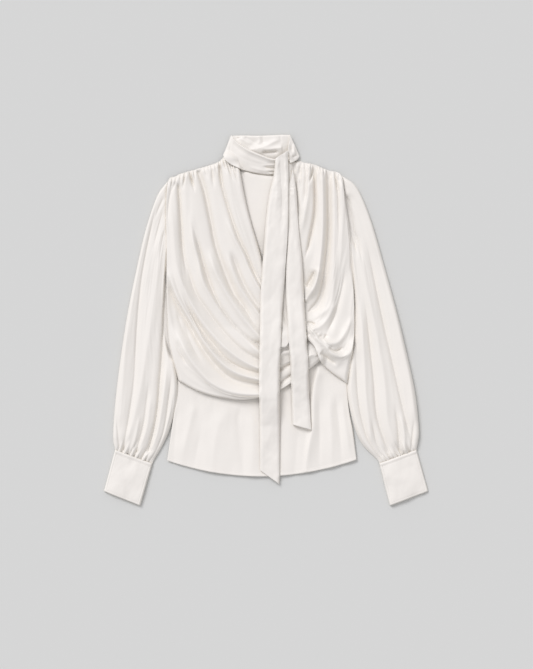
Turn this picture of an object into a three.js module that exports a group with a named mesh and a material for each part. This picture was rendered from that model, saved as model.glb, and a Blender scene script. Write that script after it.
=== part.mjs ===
// A woman's wrap blouse with a tied neck band, laid flat on its back.
// Two gathered fronts sweep across the body to a twist beside the waist, over a smooth lower front.
// The bishop sleeves are gathered into deep cuffs, and the two tie ends hang down the front.
// Millimetres, +X to the right as seen from above, +Y towards the collar, +Z up from the surface.
// "Right" and "left" in the names are the wearer's, so the right sleeve lies on the -X side.

import * as THREE from 'three';

// Driving dimensions
const WALL = 2.0; // upright thickness of a single cloth wall
const PLY_GAP = 0.5; // air between two layers that lie on each other
const BACK_TOP = WALL; // upper face of the back panel
const BAND_WALL = 2.4; // neck band and ties are folded double
const EDGE_ROLL = 7; // how far in from a free edge the cloth rounds down
const DRAPE_PUFF = 8; // how far the fronts stand off what they lie on

// Small helpers

const mix = (a, b, t) => a + (b - a) * t;
const clamp01 = (t) => Math.min(1, Math.max(0, t));
const ease = (low, high, value) => {
  const t = clamp01((value - low) / (high - low));
  return t * t * (3 - 2 * t);
};
const bump = (distance) => Math.exp(-distance * distance);
const steps = (count) => Array.from({ length: count + 1 }, (_, i) => i / count);

// A smooth line through evenly spaced stops, each an array of numbers. t runs from 0 to 1.
function through(stops, t) {
  const last = stops.length - 1;
  const place = clamp01(t) * last;
  const i = Math.min(last - 1, Math.floor(place));
  const f = place - i;
  const b = stops[i];
  const c = stops[i + 1];
  const a = i > 0 ? stops[i - 1] : b.map((v, k) => 2 * v - c[k]);
  const d = i < last - 1 ? stops[i + 2] : c.map((v, k) => 2 * v - b[k]);
  return b.map((v, k) => {
    const slopeIn = (c[k] - a[k]) / 2;
    const slopeOut = (d[k] - v) / 2;
    const rest = c[k] - v;
    return v + f * (slopeIn + f * (3 * rest - 2 * slopeIn - slopeOut + f * (slopeIn + slopeOut - 2 * rest)));
  });
}

// A point of a panel that is spanned by fold lines: u counts the lines, v runs along them.
const spanned = (lines, u, v) => through(lines.map((line) => through(line, v)), u / (lines.length - 1));

// Height of the folds at a point. Each row has where the fold lies across (at one end, to the other),
// the stretch along the cloth that it takes up, its half width and its height, below zero for a crease.
function relief(folds, u, v) {
  let height = 0;
  for (const { at, to, begin, end, wide, rise } of folds) {
    const share = clamp01((v - begin) / (end - begin));
    const fade = Math.sin(Math.PI * share) ** 0.6;
    height += rise * fade * bump((u - mix(at, to, share)) / wide);
  }
  return height;
}

// Short gathers that run out of a seam: their places across, their length along and their depth.
const gathers = (places, length, wide, depth) =>
  places.map((at, i) => ({
    at, to: at, begin: -length * 0.8, end: length * (i % 2 ? 0.8 : 1.15), wide, rise: -depth * (i % 3 ? 1 : 0.7),
  }));

// Closed solids

const pieces = new THREE.Group();
const upperPoints = []; // every upper surface point so far, which later layers rest on

function addSolid(name, colour, points, faces) {
  const geometry = new THREE.BufferGeometry();
  geometry.setAttribute('position', new THREE.Float32BufferAttribute(points.flat(), 3));
  geometry.setIndex(faces.flat());
  geometry.computeVertexNormals();
  const material = new THREE.MeshStandardMaterial({ color: colour, roughness: 0.6, metalness: 0 });
  const mesh = new THREE.Mesh(geometry, material);
  mesh.name = name;
  pieces.add(mesh);
  return mesh;
}

// The highest upper surface point within reach of a place, or the given floor height.
function restingHeight(x, y, reach, lowest = 0) {
  let height = lowest;
  for (const [px, py, pz] of upperPoints) {
    if (pz > height && Math.abs(px - x) < reach && Math.abs(py - y) < reach) height = pz;
  }
  return height;
}

// A cloth wall over a grid. place(i, j) gives [x, y, top], and the underside lies WALL below.
function sheet(name, colour, across, along, place, wall = WALL) {
  const points = [];
  for (let i = 0; i < across; i++) {
    for (let j = 0; j < along; j++) points.push(place(i, j));
  }
  const count = points.length;
  points.push(...points.map(([x, y, top]) => [x, y, top - wall]));
  const at = (i, j) => i * along + j;
  const turned = (() => {
    const [a, b, c] = [points[at(0, 0)], points[at(across - 1, 0)], points[at(0, along - 1)]];
    return (b[0] - a[0]) * (c[1] - a[1]) - (b[1] - a[1]) * (c[0] - a[0]) < 0;
  })();
  const faces = [];
  const quad = (a, b, c, d) => faces.push(...(turned ? [[a, c, b], [a, d, c]] : [[a, b, c], [a, c, d]]));
  for (let i = 0; i + 1 < across; i++) {
    for (let j = 0; j + 1 < along; j++) {
      quad(at(i, j), at(i + 1, j), at(i + 1, j + 1), at(i, j + 1));
      quad(count + at(i, j), count + at(i, j + 1), count + at(i + 1, j + 1), count + at(i + 1, j));
    }
  }
  const rim = [];
  for (let i = 0; i < across; i++) rim.push(at(i, 0));
  for (let j = 1; j < along; j++) rim.push(at(across - 1, j));
  for (let i = across - 2; i >= 0; i--) rim.push(at(i, along - 1));
  for (let j = along - 2; j > 0; j--) rim.push(at(0, j));
  rim.forEach((a, k) => {
    const b = rim[(k + 1) % rim.length];
    quad(a, count + a, count + b, b);
  });
  upperPoints.push(...points.slice(0, count));
  return addSolid(name, colour, points, faces);
}

// A tube wall, open at both ends, through closed rings of outer and inner points.
function tube(name, colour, outer, inner) {
  const rings = outer.length;
  const around = outer[0].length;
  const points = [...outer.flat(), ...inner.flat()];
  const out = (r, k) => r * around + (k % around);
  const inn = (r, k) => rings * around + r * around + (k % around);
  const faces = [];
  const quad = (a, b, c, d) => faces.push([a, b, c], [a, c, d]);
  for (let k = 0; k < around; k++) {
    for (let r = 0; r + 1 < rings; r++) {
      quad(out(r, k), out(r, k + 1), out(r + 1, k + 1), out(r + 1, k));
      quad(inn(r, k), inn(r + 1, k), inn(r + 1, k + 1), inn(r, k + 1));
    }
    quad(out(0, k), inn(0, k), inn(0, k + 1), out(0, k + 1));
    quad(out(rings - 1, k), out(rings - 1, k + 1), inn(rings - 1, k + 1), inn(rings - 1, k));
  }
  let volume = 0;
  for (const [a, b, c] of faces) {
    const [p, q, s] = [points[a], points[b], points[c]].map((v) => new THREE.Vector3(...v));
    volume += p.dot(q.cross(s));
  }
  if (volume < 0) faces.forEach((face) => face.reverse());
  upperPoints.push(...outer.flat());
  return addSolid(name, colour, points, faces);
}

const IVORY = 0xf0ebe5;
const IVORY_BAND = 0xf2ede8;

// Back panel: one flat ply on the surface, from the shoulders to the hem.

const BACK_RIGHT_SIDE = [[-88, 337], [-130, 318], [-186, 300], [-205, 286], [-208, 242], [-208, 150],
  [-206, 80], [-205, 4], [-201, -38], [-188, -103], [-182, -132], [-190, -189], [-203, -292]];
const BACK_LEFT_SIDE = [[188, -290], [173, -189], [168, -137], [176, -80], [183, -27], [182, 42], [180, 86],
  [175, 153], [169, 223], [162, 262], [157, 299], [125, 314], [71, 335]];
const BACK_HEM_SAG = 32;
const NECK_SEAM_Y = 332;

{
  const outline = new THREE.Shape();
  outline.moveTo(...BACK_RIGHT_SIDE[0]);
  BACK_RIGHT_SIDE.slice(1).forEach((point) => outline.lineTo(...point));
  outline.quadraticCurveTo(-8, BACK_LEFT_SIDE[0][1] - 2 * BACK_HEM_SAG, ...BACK_LEFT_SIDE[0]);
  BACK_LEFT_SIDE.slice(1).forEach((point) => outline.lineTo(...point));
  outline.lineTo(60, NECK_SEAM_Y);
  outline.lineTo(-78, NECK_SEAM_Y);
  const geometry = new THREE.ExtrudeGeometry(outline, { depth: WALL, bevelEnabled: false, curveSegments: 16 });
  const material = new THREE.MeshStandardMaterial({ color: IVORY, roughness: 0.6, metalness: 0 });
  const back = new THREE.Mesh(geometry, material);
  back.name = 'back';
  pieces.add(back);
}

// Lower front: the smooth panel below the drape, from a hidden waist seam to the curved hem.

const LOWER_RIGHT_EDGE = [[-188, -60], [-184, -130], [-192, -189], [-199, -237], [-207, -295]];
const LOWER_LEFT_EDGE = [[172, -60], [170, -133], [174, -189], [182, -231], [190, -293]];
const LOWER_HEM_SAG = 34;
const LOWER_SEAM_TOP = BACK_TOP + PLY_GAP + WALL;
// Soft upright folds: across from the wearer's right (0) to left (1), along from the waist seam (0) to the hem (1).
const LOWER_FOLDS = [
  { at: 0.08, to: 0.12, begin: 0.45, end: 1.3, wide: 0.035, rise: 2.5 },
  { at: 0.27, to: 0.24, begin: 0.5, end: 1.4, wide: 0.06, rise: 2.5 },
  { at: 0.37, to: 0.42, begin: 0.48, end: 1.5, wide: 0.03, rise: 3.5 },
  { at: 0.62, to: 0.66, begin: 0.55, end: 1.5, wide: 0.03, rise: 2.5 },
  { at: 0.79, to: 0.735, begin: 0.16, end: 1.5, wide: 0.022, rise: 5.5 },
  { at: 0.86, to: 0.85, begin: 0.35, end: 1.5, wide: 0.035, rise: 3 },
  { at: 0.93, to: 0.95, begin: 0.4, end: 1.5, wide: 0.025, rise: 3.5 },
];

{
  const us = steps(34);
  const vs = steps(11);
  sheet('lower_front', IVORY, us.length, vs.length, (i, j) => {
    const [leftX, leftY] = through(LOWER_RIGHT_EDGE, vs[j]);
    const [rightX, rightY] = through(LOWER_LEFT_EDGE, vs[j]);
    const sag = LOWER_HEM_SAG * ease(0.3, 1, vs[j]) * 4 * us[i] * (1 - us[i]);
    const x = mix(leftX, rightX, us[i]);
    const y = mix(leftY, rightY, us[i]) - sag;
    const inside = ease(0, 0.03, us[i]) * ease(0, 0.03, 1 - us[i]);
    return [x, y, LOWER_SEAM_TOP + inside * Math.max(0, relief(LOWER_FOLDS, us[i], vs[j]))];
  });
}

// The fronts are spanned by lines that their folds follow, each from the shoulder or side to the twist.
// Stations: at the seam, over the chest, at the waist, into the sweep, under the ties, at the twist.

const column = (row) => [row.seam, row.chest, row.waist, row.sweep, row.ties, row.twist];

const RIGHT_FRONT_LINES = [
  { name: 'hem', seam: [-183, -128], chest: [-140, -150], waist: [-90, -163], sweep: [-32, -166], ties: [36, -143], twist: [117, -83] },
  { name: 'side', seam: [-204, -45], chest: [-170, -97], waist: [-124, -133], sweep: [-64, -158], ties: [18, -149], twist: [117, -80] },
  { name: 'low roll', seam: [-208, 36], chest: [-186, -38], waist: [-150, -96], sweep: [-92, -146], ties: [2, -152], twist: [117, -76] },
  { name: 'main roll', seam: [-209, 135], chest: [-189, 55], waist: [-150, -14], sweep: [-98, -80], ties: [-10, -121], twist: [116, -70] },
  { name: 'shoulder point', seam: [-207, 286], chest: [-193, 130], waist: [-162, 22], sweep: [-110, -63], ties: [-14, -114], twist: [115, -66] },
  { name: 'first crease', seam: [-184, 303], chest: [-176, 200], waist: [-163, 62], sweep: [-118, -48], ties: [-20, -108], twist: [114, -62] },
  { name: 'chest ridge', seam: [-162, 312], chest: [-156, 185], waist: [-118, 45], sweep: [-62, -52], ties: [8, -96], twist: [112, -56] },
  { name: 'deep crease', seam: [-143, 317], chest: [-119, 215], waist: [-86, 92], sweep: [-38, 5], ties: [28, -66], twist: [110, -50] },
  { name: 'neck crease', seam: [-103, 329], chest: [-80, 235], waist: [-47, 140], sweep: [-8, 45], ties: [33, -52], twist: [107, -44] },
  { name: 'neck point', seam: [-88, 338], chest: [-60, 233], waist: [-28, 135], sweep: [4, 46], ties: [36, -32], twist: [105, -39] },
  { name: 'neckline', seam: [-61, 314], chest: [-38, 231], waist: [-8, 128], sweep: [16, 45], ties: [39, -14], twist: [102, -30] },
];
// Ridges and creases: across in fold lines, along from the seam (0) to the twist (1).
const RIGHT_FRONT_FOLDS = [
  { at: 2, to: 1.9, begin: -0.1, end: 1.1, wide: 0.34, rise: 10 },
  { at: 2.5, to: 2.5, begin: 0.1, end: 1.05, wide: 0.18, rise: -9 },
  { at: 3, to: 2.95, begin: -0.05, end: 1.0, wide: 0.4, rise: 9 },
  { at: 4, to: 3.9, begin: 0.05, end: 0.5, wide: 0.25, rise: -4 },
  { at: 4.45, to: 4.4, begin: 0.0, end: 0.45, wide: 0.28, rise: 4 },
  { at: 5, to: 5.05, begin: 0.02, end: 0.62, wide: 0.16, rise: -9 },
  { at: 5.6, to: 5.55, begin: 0.28, end: 0.95, wide: 0.2, rise: -5 },
  { at: 6, to: 5.95, begin: 0.04, end: 0.95, wide: 0.26, rise: 5.5 },
  { at: 6.35, to: 6.3, begin: 0.16, end: 0.96, wide: 0.18, rise: -7 },
  { at: 6.65, to: 6.6, begin: 0.25, end: 1.0, wide: 0.2, rise: 5 },
  { at: 7, to: 7.05, begin: -0.02, end: 0.62, wide: 0.15, rise: -10 },
  { at: 7.4, to: 7.35, begin: 0.26, end: 0.8, wide: 0.2, rise: -4.5 },
  { at: 7.7, to: 7.75, begin: 0.06, end: 0.85, wide: 0.24, rise: 5 },
  { at: 8, to: 8.1, begin: 0.0, end: 0.75, wide: 0.15, rise: -5.5 },
  ...gathers([4.75, 5.55, 6.1, 6.6, 7.3, 7.6, 8.45, 9.1, 9.5], 0.13, 0.11, 3),
];

const LEFT_FRONT_LINES = [
  { name: 'hem', seam: [170, -132], chest: [152, -121], waist: [133, -107], sweep: [113, -86], ties: [100, -55], twist: [74, -30] },
  { name: 'side', seam: [179.5, -82], chest: [166, -88], waist: [148, -88], sweep: [124, -74], ties: [103, -47], twist: [73, -26] },
  { name: 'outer loop', seam: [185.5, -26], chest: [177, -50], waist: [160, -74], sweep: [133, -64], ties: [106, -41], twist: [73, -22] },
  { name: 'loop crease', seam: [185.5, 25], chest: [177, -20], waist: [162, -56], sweep: [138, -57], ties: [109, -36], twist: [72, -17] },
  { name: 'inner loop', seam: [184, 68], chest: [173, 5], waist: [157, -38], sweep: [132, -47], ties: [108, -30], twist: [71, -12] },
  { name: 'pocket', seam: [181, 112], chest: [166, 95], waist: [153, 42], sweep: [133, -16], ties: [108, -22], twist: [70, -7] },
  { name: 'underarm', seam: [175, 180], chest: [161, 120], waist: [149, 55], sweep: [128, 2], ties: [105, -12], twist: [69, -2] },
  { name: 'armhole', seam: [167, 243], chest: [155, 165], waist: [144, 85], sweep: [124, 22], ties: [103, -3], twist: [68, 3] },
  { name: 'shoulder point', seam: [156, 302], chest: [151, 215], waist: [141, 115], sweep: [121, 40], ties: [100, 7], twist: [67, 9] },
  { name: 'deep crease', seam: [131, 314], chest: [131, 225], waist: [127, 128], sweep: [114, 58], ties: [96, 24], twist: [66, 18] },
  { name: 'teardrop', seam: [114, 321], chest: [116, 238], waist: [113, 150], sweep: [103, 84], ties: [89, 46], twist: [64, 26] },
  { name: 'centre ridge', seam: [104, 325], chest: [109, 242], waist: [105, 165], sweep: [93, 112], ties: [77, 68], twist: [57, 24] },
  { name: 'inner crease', seam: [96, 328], chest: [100, 245], waist: [87, 175], sweep: [72, 116], ties: [59, 64], twist: [46, 8] },
  { name: 'inner edge', seam: [64, 334], chest: [57, 255], waist: [54, 185], sweep: [46, 110], ties: [37.5, 44], twist: [35, -26] },
];
const LEFT_FRONT_FOLDS = [
  { at: 2, to: 1.9, begin: 0.05, end: 1.3, wide: 0.5, rise: 10 },
  { at: 3, to: 2.95, begin: 0.1, end: 0.8, wide: 0.4, rise: -7.5 },
  { at: 4, to: 3.9, begin: 0.1, end: 1.2, wide: 0.45, rise: 6 },
  { at: 5, to: 4.95, begin: 0.15, end: 0.85, wide: 0.4, rise: -7.5 },
  { at: 6.2, to: 6, begin: 0.3, end: 1.3, wide: 0.6, rise: 6 },
  { at: 7.9, to: 7.9, begin: 0.02, end: 0.5, wide: 0.3, rise: -4 },
  { at: 8.5, to: 7.8, begin: 0.1, end: 1.2, wide: 0.45, rise: 5 },
  { at: 9, to: 8.9, begin: 0.02, end: 0.95, wide: 0.3, rise: -10 },
  { at: 9.9, to: 9.7, begin: 0.3, end: 1.2, wide: 0.4, rise: 4 },
  { at: 10.6, to: 10.5, begin: 0.45, end: 1.1, wide: 0.25, rise: -6 },
  { at: 11, to: 11.1, begin: 0.02, end: 1.1, wide: 0.35, rise: 6 },
  { at: 12, to: 12.1, begin: 0.0, end: 0.9, wide: 0.3, rise: -9 },
  ...gathers([8.35, 9.5, 10.3, 11.4, 12.4, 12.75], 0.14, 0.15, 3),
];

// Stations along a front, closer together where the gathers leave the shoulder.
const FRONT_STATIONS = [0, 0.035, 0.08, 0.13, 0.19, 0.26, 0.34, 0.42, 0.5, 0.58, 0.66, 0.74, 0.82, 0.88, 0.94, 1];
// Half of a front's grid spacing, plus the spacing of what lies under it.
const LAYER_REACH = 13;

// How far a point of a front has risen from its rounded edges: 0 at the edge, 1 inside.
function edgeRise(lines, u, v, edges) {
  const [x, y] = spanned(lines, u, v);
  let rise = 1;
  for (const [edgeU, edgeV] of edges) {
    const [ex, ey] = spanned(lines, edgeU ?? u, edgeV ?? v);
    const inward = clamp01(Math.hypot(x - ex, y - ey) / EDGE_ROLL);
    rise = Math.min(rise, Math.sqrt(inward * (2 - inward)));
  }
  return rise;
}

function front(name, rows, folds, perLine, edges, twistLift) {
  const lines = rows.map(column);
  const us = steps((lines.length - 1) * perLine).map((t) => t * (lines.length - 1));
  // One more line close to each long edge shows how it rounds over.
  us.splice(1, 0, us[1] * 0.4);
  us.splice(us.length - 1, 0, mix(us.at(-1), us.at(-2), 0.4));
  sheet(name, IVORY, us.length, FRONT_STATIONS.length, (i, j) => {
    const [u, v] = [us[i], FRONT_STATIONS[j]];
    const [x, y] = spanned(lines, u, v);
    const below = restingHeight(x, y, LAYER_REACH, BACK_TOP) + PLY_GAP + WALL;
    const stand = Math.max(0, DRAPE_PUFF + relief(folds, u, v) + twistLift * ease(0.5, 0.95, v));
    return [x, y, below + stand * edgeRise(lines, u, v, edges)];
  });
}

const RIGHT_LAST = RIGHT_FRONT_LINES.length - 1;
const LEFT_LAST = LEFT_FRONT_LINES.length - 1;
front('front_right', RIGHT_FRONT_LINES, RIGHT_FRONT_FOLDS, 5,
  [[0, null], [RIGHT_LAST, null], [null, 0]], -2);
front('front_left', LEFT_FRONT_LINES, LEFT_FRONT_FOLDS, 4,
  [[0, null], [LEFT_LAST, null], [null, 0]], 3);

// Sleeves: flattened tubes, gathered at the cuff. Stations run from the armhole to the cuff seam,
// each from the outer edge to the inner edge, with the height of the upper layer.

const RIGHT_SLEEVE = [
  { along: 0, outer: [-209.6, 287], inner: [-209.6, 150], high: 6 },
  { along: 0.08, outer: [-228, 258], inner: [-210, 128], high: 7 },
  { along: 0.2, outer: [-252, 190], inner: [-210.2, 90], high: 8 },
  { along: 0.35, outer: [-274, 95], inner: [-209.6, 30], high: 8 },
  { along: 0.5, outer: [-293, -2], inner: [-207, -32], high: 8.5 },
  { along: 0.65, outer: [-307, -97], inner: [-196.4, -92], high: 9.5 },
  { along: 0.78, outer: [-316, -172], inner: [-188.5, -150], high: 10.5 },
  { along: 0.9, outer: [-320.5, -235], inner: [-202, -222], high: 10.5 },
  { along: 0.96, outer: [-320, -256], inner: [-218, -264], high: 9 },
  { along: 1, outer: [-316.4, -273], inner: [-238.4, -301.7], high: 6.5 },
];
const RIGHT_SLEEVE_FOLDS = [
  { at: 0.3, to: 0.27, begin: 0.02, end: 0.5, wide: 0.07, rise: -2 },
  { at: 0.28, to: 0.24, begin: 0.3, end: 1.2, wide: 0.05, rise: -4 },
  { at: 0.62, to: 0.66, begin: 0.0, end: 0.4, wide: 0.08, rise: -2 },
  { at: 0.86, to: 0.72, begin: 0.45, end: 1.2, wide: 0.05, rise: -5 },
  { at: 0.52, to: 0.57, begin: 0.62, end: 1.25, wide: 0.045, rise: -3.5 },
  { at: 0.42, to: 0.37, begin: 0.72, end: 1.25, wide: 0.035, rise: -3 },
  { at: 0.05, to: 0.14, begin: 0.7, end: 1.25, wide: 0.035, rise: -3 },
];

const LEFT_SLEEVE = [
  { along: 0, outer: [161.2, 301], inner: [178.6, 153], high: 6 },
  { along: 0.08, outer: [190, 276], inner: [181, 128], high: 7 },
  { along: 0.2, outer: [219, 212], inner: [184, 90], high: 8 },
  { along: 0.35, outer: [248, 113], inner: [186.8, 30], high: 8 },
  { along: 0.5, outer: [275, 14], inner: [186.6, -32], high: 8.5 },
  { along: 0.65, outer: [297, -78], inner: [179.2, -92], high: 9.5 },
  { along: 0.78, outer: [313, -155], inner: [172.4, -150], high: 10.5 },
  { along: 0.9, outer: [320.5, -228], inner: [187, -222], high: 10.5 },
  { along: 0.96, outer: [319, -256], inner: [205, -266], high: 9 },
  { along: 1, outer: [315.4, -273], inner: [237.4, -301.7], high: 6.5 },
];
const LEFT_SLEEVE_FOLDS = [
  { at: 0.5, to: 0.33, begin: 0.05, end: 0.6, wide: 0.07, rise: -2.5 },
  { at: 0.33, to: 0.16, begin: 0.35, end: 1.2, wide: 0.045, rise: -4 },
  { at: 0.8, to: 0.62, begin: 0.28, end: 1.2, wide: 0.055, rise: -4 },
  { at: 0.9, to: 0.84, begin: 0.6, end: 1.2, wide: 0.04, rise: -3 },
  { at: 0.33, to: 0.4, begin: 0.7, end: 1.25, wide: 0.04, rise: -3 },
  { at: 0.72, to: 0.78, begin: 0.8, end: 1.25, wide: 0.035, rise: -3 },
  { at: 0.02, to: 0.08, begin: 0.8, end: 1.25, wide: 0.035, rise: -3 },
];
const CUFF_GATHERS = gathers([0.07, 0.2, 0.31, 0.45, 0.51, 0.66, 0.85, 0.93], 0.1, 0.03, 2.5)
  .map((fold) => ({ ...fold, begin: 1 - fold.end, end: 1 - fold.begin }));

const SLEEVE_STATIONS = [0, 0.05, 0.11, 0.2, 0.3, 0.4, 0.5, 0.6, 0.69, 0.77, 0.84, 0.9, 0.94, 0.975, 1];
const SLEEVE_ACROSS = 32; // points over the upper layer
const SLEEVE_UNDER = 5; // points over the flat lower layer
const SLEEVE_EDGE = 5; // how far in from the pressed edge the upper layer rounds down

// One station of a sleeve at any place along it, between the rows of its table.
function sleeveStation(rows, along) {
  const k = Math.max(1, rows.findIndex((row) => row.along >= along));
  const [a, b] = [rows[k - 1], rows[k]];
  const place = (k - 1 + (along - a.along) / (b.along - a.along)) / (rows.length - 1);
  const [ox, oy, ix, iy, high] = through(rows.map((row) => [...row.outer, ...row.inner, row.high]), place);
  return { outer: [ox, oy], inner: [ix, iy], high };
}

// The closed ring of one station: over the folded upper layer, then back under it, inset by the wall.
function sleeveRing(station, along, folds, inset) {
  const { outer, inner, high } = station;
  const width = Math.hypot(inner[0] - outer[0], inner[1] - outer[1]);
  const trim = inset / width;
  const ring = [];
  const place = (t, z) => ring.push([
    mix(outer[0], inner[0], mix(trim, 1 - trim, t)), mix(outer[1], inner[1], mix(trim, 1 - trim, t)), z]);
  const hollow = Math.max(WALL + 0.8, high * 0.45);
  for (let k = 0; k <= SLEEVE_ACROSS; k++) {
    // Points are closer together near the pressed edges.
    const t = 0.5 - 0.5 * Math.cos(Math.PI * (0.08 + 0.84 * k / SLEEVE_ACROSS));
    const tt = (t - 0.0157) / (1 - 0.0314);
    const edge = clamp01(Math.min(tt, 1 - tt) * width / SLEEVE_EDGE);
    const round = Math.sqrt(edge * (2 - edge));
    const crest = Math.max(2 * WALL + 0.8, high + relief(folds, tt, along));
    place(tt, mix(hollow, crest, round) - inset);
  }
  for (let k = 0; k <= SLEEVE_UNDER; k++) place(1 - (k + 0.03) / (SLEEVE_UNDER + 0.06), inset);
  return ring;
}

function sleeve(name, rows, folds) {
  const all = [...folds, ...CUFF_GATHERS];
  const ring = (inset) => SLEEVE_STATIONS.map((s) => sleeveRing(sleeveStation(rows, s), s, all, inset));
  tube(name, IVORY, ring(0), ring(WALL * 0.75));
}
sleeve('sleeve_right', RIGHT_SLEEVE, RIGHT_SLEEVE_FOLDS);
sleeve('sleeve_left', LEFT_SLEEVE, LEFT_SLEEVE_FOLDS);

// Cuffs: deep flat bands, pressed in two layers, that the sleeve gathers run into.

const RIGHT_CUFF = { top: [[-317, -273.5], [-238.8, -302.3]], bottom: [[-340, -359], [-264, -389]] };
const LEFT_CUFF = { top: [[316, -273.5], [237.8, -302.3]], bottom: [[340, -359], [260, -389]] };
const CUFF_HIGH = 6.4;

function cuff(name, { top, bottom }) {
  const ring = (share, inset) => {
    const [ox, oy] = [mix(top[0][0], bottom[0][0], share), mix(top[0][1], bottom[0][1], share)];
    const [ix, iy] = [mix(top[1][0], bottom[1][0], share), mix(top[1][1], bottom[1][1], share)];
    const width = Math.hypot(ix - ox, iy - oy);
    const section = [[0, 2], [0.012, 4.6], [0.045, CUFF_HIGH - 0.4], [0.2, CUFF_HIGH], [0.5, CUFF_HIGH + 0.5],
      [0.8, CUFF_HIGH], [0.955, CUFF_HIGH - 0.4], [0.988, 4.6], [1, 2], [0.985, 0], [0.5, 0], [0.015, 0]];
    const trim = inset / width;
    return section.map(([t, z]) => {
      const held = mix(trim, 1 - trim, t);
      return [mix(ox, ix, held), mix(oy, iy, held), mix(inset, CUFF_HIGH + 0.5 - inset, z / (CUFF_HIGH + 0.5))];
    });
  };
  const shares = steps(4);
  tube(name, IVORY_BAND, shares.map((s) => ring(s, 0)), shares.map((s) => ring(s, BAND_WALL * 0.95)));
}
cuff('cuff_right', RIGHT_CUFF);
cuff('cuff_left', LEFT_CUFF);

// Neck band: the stretch behind the neck lies flat with its inside up, and the front stretches lie over it.
// Stations give the lower edge, the upper edge and the height of the upper face at each of them.

const BAND_STATIONS = {
  neck_back: [
    { lower: [-85, 338.5, 3.2], upper: [-70, 387, 8] },
    { lower: [-58, 333, 2.9], upper: [-44, 387.5, 9] },
    { lower: [-20, 332.8, 2.8], upper: [-16, 387, 9] },
    { lower: [20, 332.8, 2.8], upper: [14, 388, 9] },
    { lower: [48, 333.5, 2.9], upper: [34, 389, 9] },
    { lower: [68, 340, 4.3], upper: [49, 388.6, 8] },
  ],
  neck_front: [
    { lower: [-90, 345, 7], upper: [-73, 387.5, 8] },
    { lower: [-81, 330, 8], upper: [-60, 372, 12] },
    { lower: [-52, 315.5, 10], upper: [-36, 357, 16] },
    { lower: [-20, 307.5, 12], upper: [-10, 345.5, 17] },
    { lower: [4, 304.5, 12], upper: [9, 338.5, 16] },
    { lower: [21, 306, 11], upper: [24, 337, 13] },
  ],
  neck_turn: [
    { lower: [70.5, 343, 6], upper: [50, 388.4, 8] },
    { lower: [66, 336, 8], upper: [48, 374, 10] },
    { lower: [58, 331, 9], upper: [46.5, 362, 13] },
    { lower: [50, 328, 9], upper: [46, 352, 14] },
  ],
};
const BAND_FOLDS = {
  neck_back: [
    { at: 0.45, to: 0.6, begin: 0.1, end: 1, wide: 0.16, rise: 6 },
    { at: 0.3, to: 0.36, begin: 0.4, end: 0.95, wide: 0.07, rise: -5 },
  ],
  neck_front: [
    { at: 0.55, to: 0.35, begin: 0.2, end: 1.2, wide: 0.12, rise: -1.8 },
    { at: 0.75, to: 0.7, begin: 0.0, end: 1.1, wide: 0.15, rise: 1.8 },
    { at: 0.15, to: 0.15, begin: 0.6, end: 1.3, wide: 0.08, rise: -2 },
  ],
  neck_turn: [
    { at: 0.5, to: 0.5, begin: 0.1, end: 1.3, wide: 0.14, rise: -2 },
  ],
};
const BAND_REACH = { neck_front: 12, neck_turn: 7.5 };
const BAND_SEGMENTS = { neck_back: 14, neck_front: 16, neck_turn: 8 };

for (const [name, rows] of Object.entries(BAND_STATIONS)) {
  const along = steps(BAND_SEGMENTS[name]);
  const across = steps(9);
  sheet(name, IVORY_BAND, along.length, across.length, (i, j) => {
    const [lx, ly, lz, ux, uy, uz] = through(rows.map((row) => [...row.lower, ...row.upper]), along[i]);
    const [x, y] = [mix(lx, ux, across[j]), mix(ly, uy, across[j])];
    const crown = Math.sin(Math.PI * across[j]) * 0.8 + relief(BAND_FOLDS[name], across[j], along[i]);
    if (name === 'neck_back') return [x, y, mix(lz, uz, across[j]) + 0.4 * Math.max(0, crown)];
    const under = restingHeight(x, y, BAND_REACH[name], BACK_TOP) + PLY_GAP + BAND_WALL;
    return [x, y, Math.max(under, mix(lz, uz, across[j]) + crown)];
  }, BAND_WALL);
}

// Tie ends: long flat strips that rest on whatever lies under them. Stations run down the strip,
// with its centre line, its width and the lowest height of its upper face.

const TIE_LONG = [
  { y: 345, x: 32.8, width: 26.5, least: 14 },
  { y: 302, x: 31.5, width: 32, least: 14 },
  { y: 260, x: 26.5, width: 41, least: 12 },
  { y: 200, x: 22.5, width: 48, least: 12 },
  { y: 120, x: 17, width: 49, least: 16 },
  { y: 40, x: 12, width: 48, least: 16 },
  { y: -40, x: 9, width: 45, least: 16 },
  { y: -120, x: 7, width: 44, least: 18 },
  { y: -200, x: 7.5, width: 43, least: 13 },
  { y: -260, x: 8, width: 41.5, least: 9.5 },
  { y: -315, x: 8, width: 41, least: 7 },
];
const TIE_SHORT = [
  { y: 316, x: 60, width: 4, least: 12 },
  { y: 296, x: 57.5, width: 8, least: 12 },
  { y: 277, x: 55, width: 12.5, least: 12 },
  { y: 255, x: 54.5, width: 20, least: 12 },
  { y: 200, x: 55.5, width: 24, least: 13 },
  { y: 120, x: 59, width: 34, least: 14 },
  { y: 40, x: 61, width: 38, least: 15 },
  { y: -40, x: 66, width: 38.5, least: 22 },
  { y: -100, x: 70, width: 38, least: 17 },
  { y: -160, x: 72, width: 38.5, least: 12 },
  { y: -219, x: 75, width: 39.5, least: 8 },
];
const TIE_SEGMENTS = 44;
const TIE_REACH = 9;

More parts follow.
